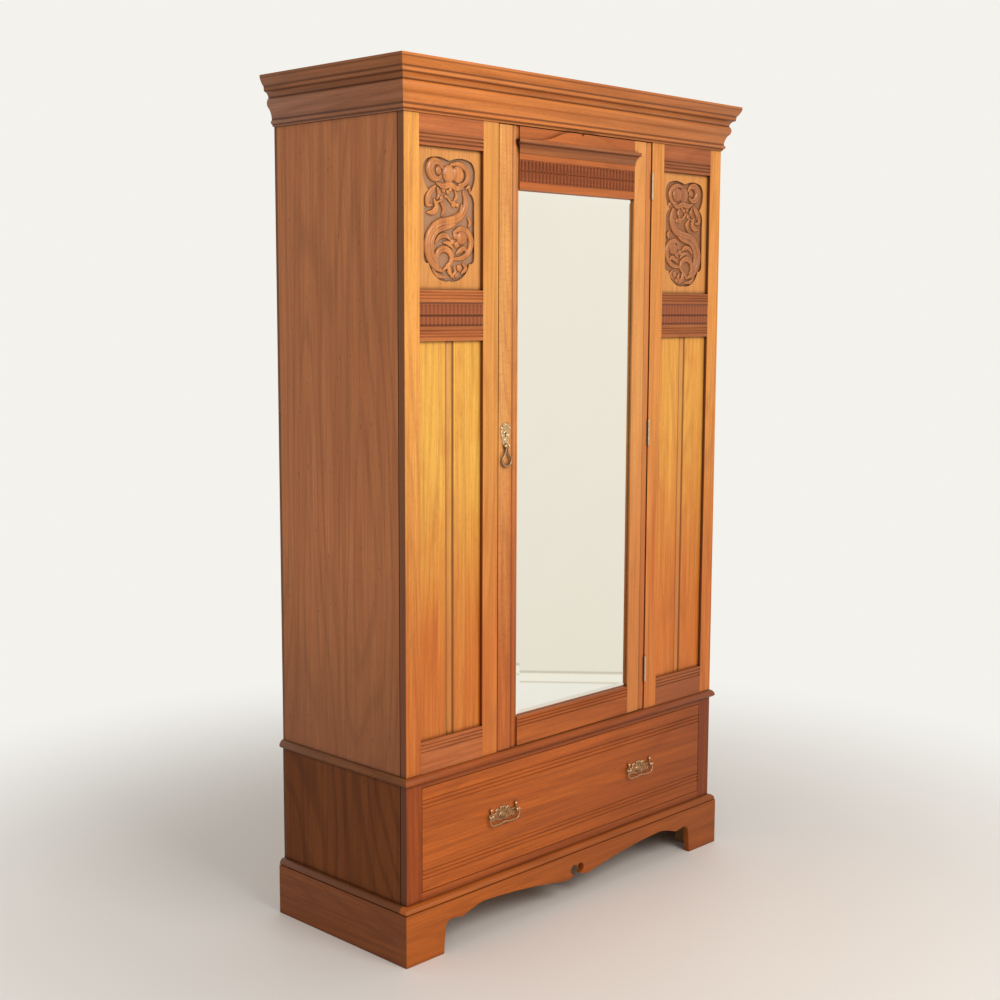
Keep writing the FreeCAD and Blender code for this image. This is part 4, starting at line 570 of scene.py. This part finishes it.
# Mild steel: a soft shine drawn out into fine upright scratches
bright_steel, tree = new_material("filed mild steel")
place = add(tree, "ShaderNodeTexCoord").outputs["Object"]
brushing = add(tree, "ShaderNodeMapping", {"Scale": (1, 1, 0.05)}, {"Vector": place}).outputs[0]
scratch = add(tree, "ShaderNodeTexNoise", {"Scale": METRE_IN_MM / SCRATCH_MM, "Detail": 3.0},
              {"Vector": brushing}).outputs["Fac"]
rough = add(tree, "ShaderNodeMapRange", {"To Min": 0.25, "To Max": 0.5}, {"Value": scratch}).outputs[0]
shade = add(tree, "ShaderNodeMix", {"data_type": "RGBA", MIX_A: linear("#B4A486"), MIX_B: linear("#D6C9AF")},
            {0: scratch}).outputs[MIX_COLOUR]
shader = add(tree, "ShaderNodeBsdfPrincipled", {"Metallic": 1.0}, {"Base Color": shade, "Roughness": rough})
add(tree, "ShaderNodeOutputMaterial", {}, {0: shader.outputs[0]})
finish(bright_steel, "hinge_case_leaves", "hinge_door_leaves", "strike_plate", "lock_case", "lock_bolt",
       arris_mm=0.25)
SCREW_RADIUS, SCREW_RISE, SLOT_HALF, SCREW_INSET, SCREW_STEP = 3.2, 0.9, 0.5, 8, 0.2
# the slots stand askew by this slope, and are cut nearly down to the plate
SLOT_SLOPE, SLOT_FLOOR = 0.6, 0.05
screw_grid = grid_over(-SCREW_RADIUS, -SCREW_RADIUS, SCREW_RADIUS, SCREW_RADIUS, SCREW_STEP)
screw_head = dome(screw_grid, 0, 0, SCREW_RADIUS, SCREW_RADIUS, SCREW_RISE)
in_slot = (np.abs(screw_grid[0] - SLOT_SLOPE * screw_grid[1]) < SLOT_HALF) & (screw_head > 0)
screw_points, screw_faces = solid_from(screw_grid, np.where(in_slot, SLOT_FLOOR, screw_head), BURIED)
lock_low, lock_high = box_mm("lock_case")
lock_corners = [(u, v) for u in (lock_low[0] + SCREW_INSET, lock_high[0] - SCREW_INSET)
                for v in (lock_low[2] + SCREW_INSET, lock_high[2] - SCREW_INSET)]
new_piece("lock_screws", [(screw_points + np.array((-u, 0, v)), screw_faces) for u, v in lock_corners],
          (0, lock_high[1], 0), bright_steel, "door", facing=-1)

# Escutcheon and drop pull
# A cast brass plate with a crown of lobes, a collar round the keyhole and two knobs that hold a pin;
# a pear-shaped loop hangs from the pin by a barrel eye.
TARNISH_MM, HOLLOW_REACH_MM = 7, 4


# Cast brass under old lacquer: gold and copper in patches, rubbed bright on whatever stands proud, with a
# painted highlight there as well, and nearly black in the hollows
def cast_brass(name, dull, gold, rubbed_highlight):
    material, tree = new_material(name)
    place = add(tree, "ShaderNodeTexCoord").outputs["Object"]
    tarnish = add(tree, "ShaderNodeTexNoise", {"Scale": METRE_IN_MM / TARNISH_MM, "Detail": 4.0},
                  {"Vector": place}).outputs["Fac"]
    shade = add(tree, "ShaderNodeMix", {"data_type": "RGBA", MIX_A: linear(dull), MIX_B: linear(gold)},
                {0: tarnish}).outputs[MIX_COLOUR]
    proud = add(tree, "ShaderNodeMapRange", {"From Min": 0.5, "From Max": 0.58},
                {"Value": add(tree, "ShaderNodeNewGeometry").outputs["Pointiness"]}).outputs[0]
    shade = add(tree, "ShaderNodeMix", {"data_type": "RGBA", MIX_B: linear(rubbed_highlight)},
                {0: proud, MIX_A: shade}).outputs[MIX_COLOUR]
    open_sky = add(tree, "ShaderNodeAmbientOcclusion",
                   {"samples": 6, "Distance": HOLLOW_REACH_MM * MM}).outputs["AO"]
    shut = add(tree, "ShaderNodeMapRange", {"From Min": 0.92, "From Max": 0.45, "To Max": 0.94},
               {"Value": open_sky}).outputs[0]
    shade = add(tree, "ShaderNodeMix", {"data_type": "RGBA", MIX_B: linear("#2C190C")},
                {0: shut, MIX_A: shade}).outputs[MIX_COLOUR]
    rough = add(tree, "ShaderNodeMapRange", {"To Min": 0.17, "To Max": 0.36}, {"Value": tarnish}).outputs[0]
    shader = add(tree, "ShaderNodeBsdfPrincipled", {"Metallic": 1.0},
                 {"Base Color": shade, "Roughness": rough})
    add(tree, "ShaderNodeOutputMaterial", {}, {0: shader.outputs[0]})
    return material


plate_brass = cast_brass("escutcheon cast brass", "#B88C5C", "#E6C490", "#FFF0D0")
drop_brass = cast_brass("drop pull cast brass", "#6C4C32", "#A07852", "#EAD0A8")


# Both halves of a shape from the right-hand one, which runs from its foot to its top
def whole(half):
    return [tuple(row) for row in half] + [(-row[0], *row[1:]) for row in half[::-1] if abs(row[0]) > 1e-6]


# Depth inside a closed outline at every grid point, below zero outside it
def depth_in(grid, outline):
    line = np.array([(*row[:2], 0.0) for row in outline])
    line = np.vstack([line, line[0]])
    gap, _ = nearest(grid, line)
    inside = np.zeros(grid[0].shape, bool)
    for (u0, v0, _), (u1, v1, _) in zip(line[:-1], line[1:]):
        if v0 != v1:
            crossing = u0 + (grid[1] - v0) * (u1 - u0) / (v1 - v0)
            inside ^= ((grid[1] < v0) != (grid[1] < v1)) & (grid[0] < crossing)
    return np.where(inside, gap, -gap)


# A cast plate: rounded at the rim, with a bead just inside it
def cast_plate(depth, thickness, rim=1.2, bead=0.7):
    face = thickness * np.sqrt(1 - (1 - np.clip(depth / rim, 0, 1)) ** 2)
    face += bead * np.exp(-((depth - 2.1) / 0.7) ** 2)
    return np.where(depth > 0, face, depth * FALL)


SIDES = 24
ROUND = np.linspace(0, 2 * math.pi, SIDES, endpoint=False)


# Rings joined into a closed skin, capped at both ends unless the last ring runs on into the first
def skin(rings, closed=False):
    rings = np.array(rings)
    count = len(rings)
    faces = []
    for ring in range(count if closed else count - 1):
        here, there = ring * SIDES, (ring + 1) % count * SIDES
        faces += [(here + k, there + k, there + (k + 1) % SIDES, here + (k + 1) % SIDES)
                  for k in range(SIDES)]
    if not closed:
        faces += [tuple(range(SIDES)), tuple(range((count - 1) * SIDES, count * SIDES))[::-1]]
    return rings.reshape(-1, 3), faces


# A turned form from rows of (along, radius) about an axis through a centre: 0 across, 1 outward, 2 up
def turned(rows, centre, axis):
    rings = []
    for along, radius in rows:
        ring = np.zeros((SIDES, 3))
        ring[:, axis] = along
        ring[:, (axis + 1) % 3] = radius * np.cos(ROUND)
        ring[:, (axis + 2) % 3] = radius * np.sin(ROUND)
        rings.append(ring + np.array(centre))
    return skin(rings)


# A round bar along rows of (across, up, radius) in the plane of the front, at one distance from it
def swept(rows, out, closed=False):
    line = flowing(rows, 5, closed)
    ahead = np.roll(line, -1, 0) - np.roll(line, 1, 0) if closed else np.gradient(line, axis=0)
    ahead = ahead[:, :2] / np.linalg.norm(ahead[:, :2], axis=1)[:, None]
    rings = [np.stack([u - ahead_v * radius * np.cos(ROUND), out - radius * np.sin(ROUND),
                       v + ahead_u * radius * np.cos(ROUND)], 1)
             for (u, v, radius), (ahead_u, ahead_v) in zip(line, ahead)]
    return skin(rings, closed)


FACE = box_mm("outer_stiles")[0][1]
PLATE_STEP = 0.5
plate_low, plate_high = box_mm("escutcheon")
ESCUTCHEON_TOP, ESCUTCHEON_THICKNESS = 25, 2
key_x, key_z = (plate_low[0] + plate_high[0]) / 2, plate_high[2] - ESCUTCHEON_TOP
escutcheon_half = [(0, -30), (7, -28), (10, -20), (12.5, -10), (15.4, -3), (16, 3), (14.8, 9.5),
                   (16.3, 13.5), (15.4, 16.8), (12, 17.6), (9.6, 16), (10.2, 19.8), (8, 22.4), (4.6, 21.4),
                   (3.2, 24.4), (0, 25)]
escutcheon_grid = grid_over(-18, -32, 18, 27, PLATE_STEP)
escutcheon_depth = depth_in(escutcheon_grid, flowing(whole(escutcheon_half), 5, closed=True))
escutcheon_face = cast_plate(escutcheon_depth, ESCUTCHEON_THICKNESS)
lobes = [(0, 20, 3.4, 3.6, 1.7), (-7.5, 18, 2.8, 2.8, 1.5), (7.5, 18, 2.8, 2.8, 1.5),
         (-12.6, 13, 2.6, 2.6, 1.4), (12.6, 13, 2.6, 2.6, 1.4), (0, -18, 5, 7, 1.6), (-9, -7, 3, 5, 1.2),
         (9, -7, 3, 5, 1.2)]
# ornament keeps this far inside a casting's rim, in mm
RIM_KEPT = 0.4
for across, up, half_across, half_up, rise in lobes:
    lobe = dome(escutcheon_grid, across, up, half_across, half_up, rise)
    escutcheon_face = np.where((lobe > 0) & (escutcheon_depth > RIM_KEPT), escutcheon_face + lobe,
                               escutcheon_face)
KEY_HOLE_RADIUS, KEY_SLOT_HALF, KEY_SLOT_FOOT = 2.8, 1.4, -9
key_round = np.hypot(*escutcheon_grid) - KEY_HOLE_RADIUS
key_slot = np.maximum(np.abs(escutcheon_grid[0]) - KEY_SLOT_HALF,
                      np.maximum(KEY_SLOT_FOOT - escutcheon_grid[1], escutcheon_grid[1]))
key_gap = np.minimum(key_round, key_slot)
escutcheon_face += 0.9 * np.exp(-((key_gap - 1.6) / 0.8) ** 2) * (key_gap > 0)
escutcheon_face = np.where(key_gap < 0, NOWHERE, escutcheon_face)
DROP_STAND, LUG_DROP, LUG_SPREAD = 6, -29, 5.9
knob = [(4.4, 2.2), (4.6, 3.1), (5.4, 3.4), (6.4, 3.4), (7.1, 3), (7.5, 1.6), (7.6, 0.4)]
stalk = [(-0.6, 2.2), (1.6, 2), (3.4, 1.5), (5.6, 1.5)]
lugs = []
for side in (-1, 1):
    lugs.append(turned([(side * along, radius) for along, radius in knob][::side],
                       (0, DROP_STAND, LUG_DROP), 0))
    lugs.append(turned(stalk, (side * LUG_SPREAD, 0, LUG_DROP), 1))
new_piece("escutcheon_cast", [solid_from(escutcheon_grid, escutcheon_face, BURIED)] + lugs,
          (key_x, FACE, key_z), plate_brass, "door", ["escutcheon"])

drop_low, drop_high = box_mm("drop_pull")
DROP_EYE_RADIUS = 3
drop_place = (key_x, (drop_low[1] + drop_high[1]) / 2, drop_high[2] - DROP_EYE_RADIUS)
loop_half = [(0, -48, 2.6), (6.3, -47.2, 2.5), (11.5, -43.7, 2.4), (14.4, -38.2, 2.2), (15, -34.8, 2.1),
             (13.4, -28.8, 2), (9.2, -24, 1.9), (5, -17.5, 1.8), (2.6, -10, 1.8), (1.2, -3, 1.7),
             (0, -1, 1.7)]
barrel = turned([(-4, 2.4), (-3.8, 2.9), (-3, 3), (-2.4, 2.5), (-1.6, 2.9), (0, 3), (1.6, 2.9), (2.4, 2.5),
                 (3, 3), (3.8, 2.9), (4, 2.4)], (0, 0, 0), 0)
pin = turned([(-7.3, 0.6), (-7.2, 1.3), (7.2, 1.3), (7.3, 0.6)], (0, 0, 0), 0)
tip = turned([(-52, 0.5), (-51.4, 1.5), (-50.4, 1.9), (-49.4, 1.6), (-48.4, 1.2)], (0, 0, 0), 2)
new_piece("drop_pull_cast", [swept(whole(loop_half), 0, closed=True), barrel, pin, tip], drop_place,
          drop_brass, "drop_pull", ["drop_pull"])

# Drawer handles
# Two cast brass plates, each with an oval boss, scrolls and a beaded rim, turned posts and ball finials,
# and a bail bent from round bar that hangs from the posts by two pins.
handle_brass = cast_brass("drawer handle cast brass", "#7C5434", "#BA875C", "#EFCDA0")
HANDLE_THICKNESS, EAR_SPREAD, EAR_RISE, FINIAL_STAND = 2.4, 43, 4, 4.5
handle_half = [(0, -13.3), (14, -14.4), (28, -10.8), (34, -13), (40.3, -10.8), (43.2, -4.3), (48, -0.4),
               (47, 5.4), (41.3, 7.9), (27, 7.9), (26.4, 14), (22, 18), (15.8, 18.4), (11, 14.4), (9.6, 19.8),
               (5.3, 21.6), (0, 21.6)]
handle_grid = grid_over(-50, -17, 50, 24, PLATE_STEP)
handle_depth = depth_in(handle_grid, flowing(whole(handle_half), 5, closed=True))
handle_face = cast_plate(handle_depth, HANDLE_THICKNESS)
SCROLL_RISE = 0.9
scrolls = [[(13, -9, 1), (21, -9.5, 1.7), (28, -6, 1.8), (31, 0, 1.7), (27, 4, 1.6), (22, 2.5, 1.4),
            (22, -2, 1.2)],
           [(9, 9, 1), (13, 12, 1.6), (19, 14.4, 1.8), (23, 11, 1.5), (20, 8.5, 1.2)],
           [(34, -8, 1), (38, -6.5, 1.6), (39.5, -2, 1.3)]]
knobs = [(0, 18, 2.6, 2.6, 2), (6.4, 16.6, 2, 2, 1.6), (-6.4, 16.6, 2, 2, 1.6), (0, -10.4, 3.4, 2.2, 1.4)]
for rows in scrolls:
    for mirror in (1, -1):
        raised = ridge(handle_grid, [(mirror * u, v, half) for u, v, half in rows], SCROLL_RISE)
        handle_face = np.where((raised > 0) & (handle_depth > RIM_KEPT),
                               np.maximum(handle_face, HANDLE_THICKNESS + raised), handle_face)
for across, up, half_across, half_up, rise in knobs:
    raised = dome(handle_grid, across, up, half_across, half_up, rise)
    handle_face = np.where(raised > 0, np.maximum(handle_face, HANDLE_THICKNESS + raised), handle_face)
BOSS_HALF, BOSS_RISE = (13.5, 8.5), 5.5
boss = dome(handle_grid, 0, 0, *BOSS_HALF, BOSS_RISE)
boss_reach = np.hypot(handle_grid[0] / BOSS_HALF[0], handle_grid[1] / BOSS_HALF[1])
boss = np.where(boss_reach < 0.82, boss - 1.2, 2.0 * np.exp(-((boss_reach - 0.98) / 0.08) ** 2))
handle_face = np.where(boss_reach < 1.1, np.maximum(handle_face, HANDLE_THICKNESS + boss), handle_face)
post = [(-0.6, 4.4), (2.6, 4.6), (3.4, 3.4), (4.6, 2.9), (6, 3.7), (7, 4), (11, 4), (12.2, 3.4), (12.8, 2),
        (13, 0.5)]
finial = [(6, 2.5), (8, 1.9), (11.5, 1.6), (13.6, 2.3), (14.4, 2.5), (15, 1.9), (15.8, 2.6), (17.4, 3.4),
          (19, 3.6), (20.8, 3.2), (22, 2), (22.5, 0.6)]
BAIL_SPREAD, EAR_STAND, EYE_RADIUS, PIN_RADIUS = 50.3, 9, 2.8, 1.5
bail_half = [(0, -20.5, 2.4), (5, -20.9, 2.2), (11, -22.4, 2), (16, -23, 2), (27, -23, 2), (38.3, -23, 2.1),
             (44.5, -21.2, 2.2), (48.8, -16.8, 2.1), (50.3, -11, 2), (50.3, -5, 1.9), (50.3, 0, 1.9)]
eye = [(-2.6, 0.8), (-2.2, 1.9), (-1.2, 2.7), (0, 2.9), (1.2, 2.7), (2.2, 1.9), (2.6, 0.8)]
plates = []
for side in ("left", "right"):
    bail_low, bail_high = box_mm("bail_" + side)
    pivot = ((bail_low[0] + bail_high[0]) / 2, FACE - EAR_STAND, bail_high[2] - EYE_RADIUS)
    bar = [(-u, v, radius) for u, v, radius in bail_half[:0:-1]] + bail_half
    parts = [swept(bar, 0)]
    for end in (-1, 1):
        parts.append(turned(eye, (end * BAIL_SPREAD, 0, 0), 0))
        pin_rows = sorted([(end * (BAIL_SPREAD - 11.2), 0.8), (end * (BAIL_SPREAD - 11), PIN_RADIUS),
                           (end * BAIL_SPREAD, PIN_RADIUS)])
        parts.append(turned(pin_rows, (0, 0, 0), 0))
    new_piece(f"bail_{side}_cast", parts, pivot, handle_brass, "bail_" + side, ["bail_" + side])
    moved = [solid_from(handle_grid, handle_face, BURIED)]
    for end in (-1, 1):
        moved.append(turned(post, (end * EAR_SPREAD, 0, EAR_RISE), 1))
        moved.append(turned(finial, (end * EAR_SPREAD, FINIAL_STAND, 0), 2))
    plates += [(points + np.array((pivot[0], 0, 0)), faces) for points, faces in moved]
    handle_z = pivot[2] - EAR_RISE
new_piece("handle_plates_cast", plates, (0, FACE, handle_z), handle_brass, "drawer",
          ["handle_plates"])

# Cornice
# A moulded frame that lifts off: frieze boards with an astragal, a crown moulding planted on them and
# mitred at the corners, and deal blocks and a back rail inside.
cornice_quirks = [dark_line(UP, height, 1.2) for height in (1938.5, 1951, 1999.5, 2013.5, 2024)]
cornice_quirks.append(dark_line(UP, 2043, 0.8, 0.5))
cornice_wood = satin_walnut("cornice satin walnut", ALONG_X, "#E68D46", "#D07936", "#6E3A18", fibrous=0.22,
                            tints=cornice_quirks)
cornice_side_wood = satin_walnut("cornice side satin walnut", ALONG_Y, "#AD6F48", "#9C613C", "#573219",
                                 tints=cornice_quirks, gloss=0.14)
frieze_side_wood = satin_walnut("frieze side satin walnut", ALONG_Y, "#B37655", "#A26846", "#573319",
                                tints=cornice_quirks)
cornice_inside_wood = bare_deal("cornice block deal", ALONG_X)
finish(cornice_wood, "crown_front", "frieze_front")
finish(cornice_side_wood, "crown_returns")
finish(frieze_side_wood, "frieze_returns")
finish(cornice_inside_wood, "cornice_back_rail", "cornice_blocks")

# Room
# A plain pale floor that runs into a pale background, a large soft light high in front, a small weak one
# at the left, and light from all round. A card that only reflections see stands where a far wall would.
BACKGROUND = "#F4F2ED"


def stage_sheet(name, points, faces):
    mesh = bpy.data.meshes.new(name)
    mesh.from_pydata(points, [], faces)
    made = bpy.data.objects.new(name, mesh)
    bpy.context.scene.collection.objects.link(made)
    return made


FLOOR_REACH = 14.0
floor_corners = [(u * FLOOR_REACH, v * FLOOR_REACH, 0) for u, v in ((-1, -1), (1, -1), (1, 1), (-1, 1))]
floor = stage_sheet("floor", floor_corners, [(0, 1, 2, 3)])
# Floor paint: matt and pale, holding the shadow near the object and running into the background beyond
FADE_START, FADE_END = 0.8, 2.4
floor_paint, tree = new_material("pale floor paint")
place = add(tree, "ShaderNodeTexCoord").outputs["Object"]
away = add(tree, "ShaderNodeVectorMath", {"operation": "LENGTH"}, {0: place}).outputs["Value"]
fade = add(tree, "ShaderNodeMapRange", {"From Min": FADE_START, "From Max": FADE_END,
                                         "interpolation_type": "SMOOTHSTEP"},
           {"Value": away}).outputs[0]
path = add(tree, "ShaderNodeLightPath")
seen = add(tree, "ShaderNodeMath", {"operation": "MAXIMUM"},
           {0: path.outputs["Is Camera Ray"], 1: path.outputs["Is Glossy Ray"]}).outputs[0]
share = add(tree, "ShaderNodeMath", {"operation": "MULTIPLY"}, {0: fade, 1: seen}).outputs[0]
paint = add(tree, "ShaderNodeBsdfPrincipled", {"Base Color": linear("#F0ECE8"), "Roughness": 0.6})
glow = add(tree, "ShaderNodeEmission", {"Color": linear(BACKGROUND)})
both = add(tree, "ShaderNodeMixShader", {}, {0: share, 1: paint.outputs[0], 2: glow.outputs[0]})
add(tree, "ShaderNodeOutputMaterial", {}, {0: both.outputs[0]})
floor.data.materials.append(floor_paint)

CARD_FOOT = Vector((1.69, -1.68, 0))
CARD_ALONG = Vector((0.66, 0.75, 0))
SKIRTING_FOOT, SKIRTING_TOP, SKIRTING_SHADOW, CARD_TOP, CARD_REACH = 0.006, 0.04, 0.01, 3.0, 3
ends = [CARD_FOOT - CARD_REACH * CARD_ALONG, CARD_FOOT + CARD_REACH * CARD_ALONG]
heights = (0.0, SKIRTING_FOOT, SKIRTING_TOP, SKIRTING_TOP + SKIRTING_SHADOW, CARD_TOP)
card = stage_sheet("wall_card", [(end.x, end.y, height) for height in heights for end in ends],
                   [(0, 1, 3, 2), (2, 3, 5, 4), (4, 5, 7, 6), (6, 7, 9, 8)])
# Paints on the card, seen in the mirror: a painted shadow line at its foot, the skirting, a painted shadow
# line above it, and the pale wall, lighter towards the top
CARD_PAINTS = [("skirting foot shadow", "#D8CFBE", "#D8CFBE"), ("skirting paint", "#F6F3EA", "#F6F3EA"),
               ("skirting shadow", "#D2CABA", "#D2CABA"), ("wall paint", "#EFE9DF", "#F8F4EC")]
for number, (paint_name, lower, upper) in enumerate(CARD_PAINTS):
    card_paint, tree = new_material(paint_name)
    place = add(tree, "ShaderNodeTexCoord").outputs["Object"]
    height = add(tree, "ShaderNodeSeparateXYZ", {}, {0: place}).outputs["Z"]
    rise = add(tree, "ShaderNodeMapRange", {"From Max": 2.2}, {"Value": height}).outputs[0]
    shade = add(tree, "ShaderNodeMix", {"data_type": "RGBA", MIX_A: linear(lower), MIX_B: linear(upper)},
                {0: rise}).outputs[MIX_COLOUR]
    glow = add(tree, "ShaderNodeEmission", {}, {"Color": shade})
    add(tree, "ShaderNodeOutputMaterial", {}, {0: glow.outputs[0]})
    card.data.materials.append(card_paint)
    card.data.polygons[number].material_index = number
card.visible_camera = False
card.visible_diffuse = False
card.visible_shadow = False

world = bpy.data.worlds.new("pale room")
bpy.context.scene.world = world
world.use_nodes = True
tree = world.node_tree
tree.nodes.clear()
path = add(tree, "ShaderNodeLightPath")
seen = add(tree, "ShaderNodeMath", {"operation": "MAXIMUM"},
           {0: path.outputs["Is Camera Ray"], 1: path.outputs["Is Glossy Ray"]}).outputs[0]
room = add(tree, "ShaderNodeBackground", {"Color": linear("#F7F4EF"), "Strength": 0.57})
wall = add(tree, "ShaderNodeBackground", {"Color": linear(BACKGROUND), "Strength": 1.0})
both = add(tree, "ShaderNodeMixShader", {}, {0: seen, 1: room.outputs[0], 2: wall.outputs[0]})
add(tree, "ShaderNodeOutputWorld", {}, {0: both.outputs[0]})

LIGHTS = [("key_light", (-0.2, -3.7, 3.1), 2.4, 87), ("fill_light", (-3.4, -2.6, 2.5), 0.8, 11)]
LIT_PLACE = Vector((0, -0.2, 1.1))
for name, place, size, watts in LIGHTS:
    lamp = bpy.data.lights.new(name, "AREA")
    lamp.shape = "DISK"
    lamp.size = size
    lamp.energy = watts
    lamp.color = linear("#FFFAF3")[:3]
    light = bpy.data.objects.new(name, lamp)
    light.location = place
    light.rotation_euler = (LIT_PLACE - light.location).to_track_quat("-Z", "Y").to_euler()
    bpy.context.scene.collection.objects.link(light)

# Camera
# It stands to the left in front of the object, at about three quarters of its height, and looks
# slightly down.
YAW, PITCH, ROLL = math.radians(45.866), math.radians(-7.229), math.radians(0.212)
forward = Vector((math.sin(YAW) * math.cos(PITCH), math.cos(YAW) * math.cos(PITCH), math.sin(PITCH)))
level = Vector((math.cos(YAW), -math.sin(YAW), 0))
upward = level.cross(forward)
right = level * math.cos(ROLL) + upward * math.sin(ROLL)
up = upward * math.cos(ROLL) - level * math.sin(ROLL)
lens = bpy.data.cameras.new("camera")
lens.sensor_width, lens.lens = 36, 54.37
camera = bpy.data.objects.new("camera", lens)
bpy.context.scene.collection.objects.link(camera)
turned_to = Matrix((right, up, -forward)).transposed().to_4x4()
STAND = (-2.825821, -2.683471, 1.510524)
camera.matrix_world = Matrix.Translation(STAND) @ turned_to
bpy.context.scene.camera = camera
bpy.context.scene.view_settings.view_transform = "Standard"
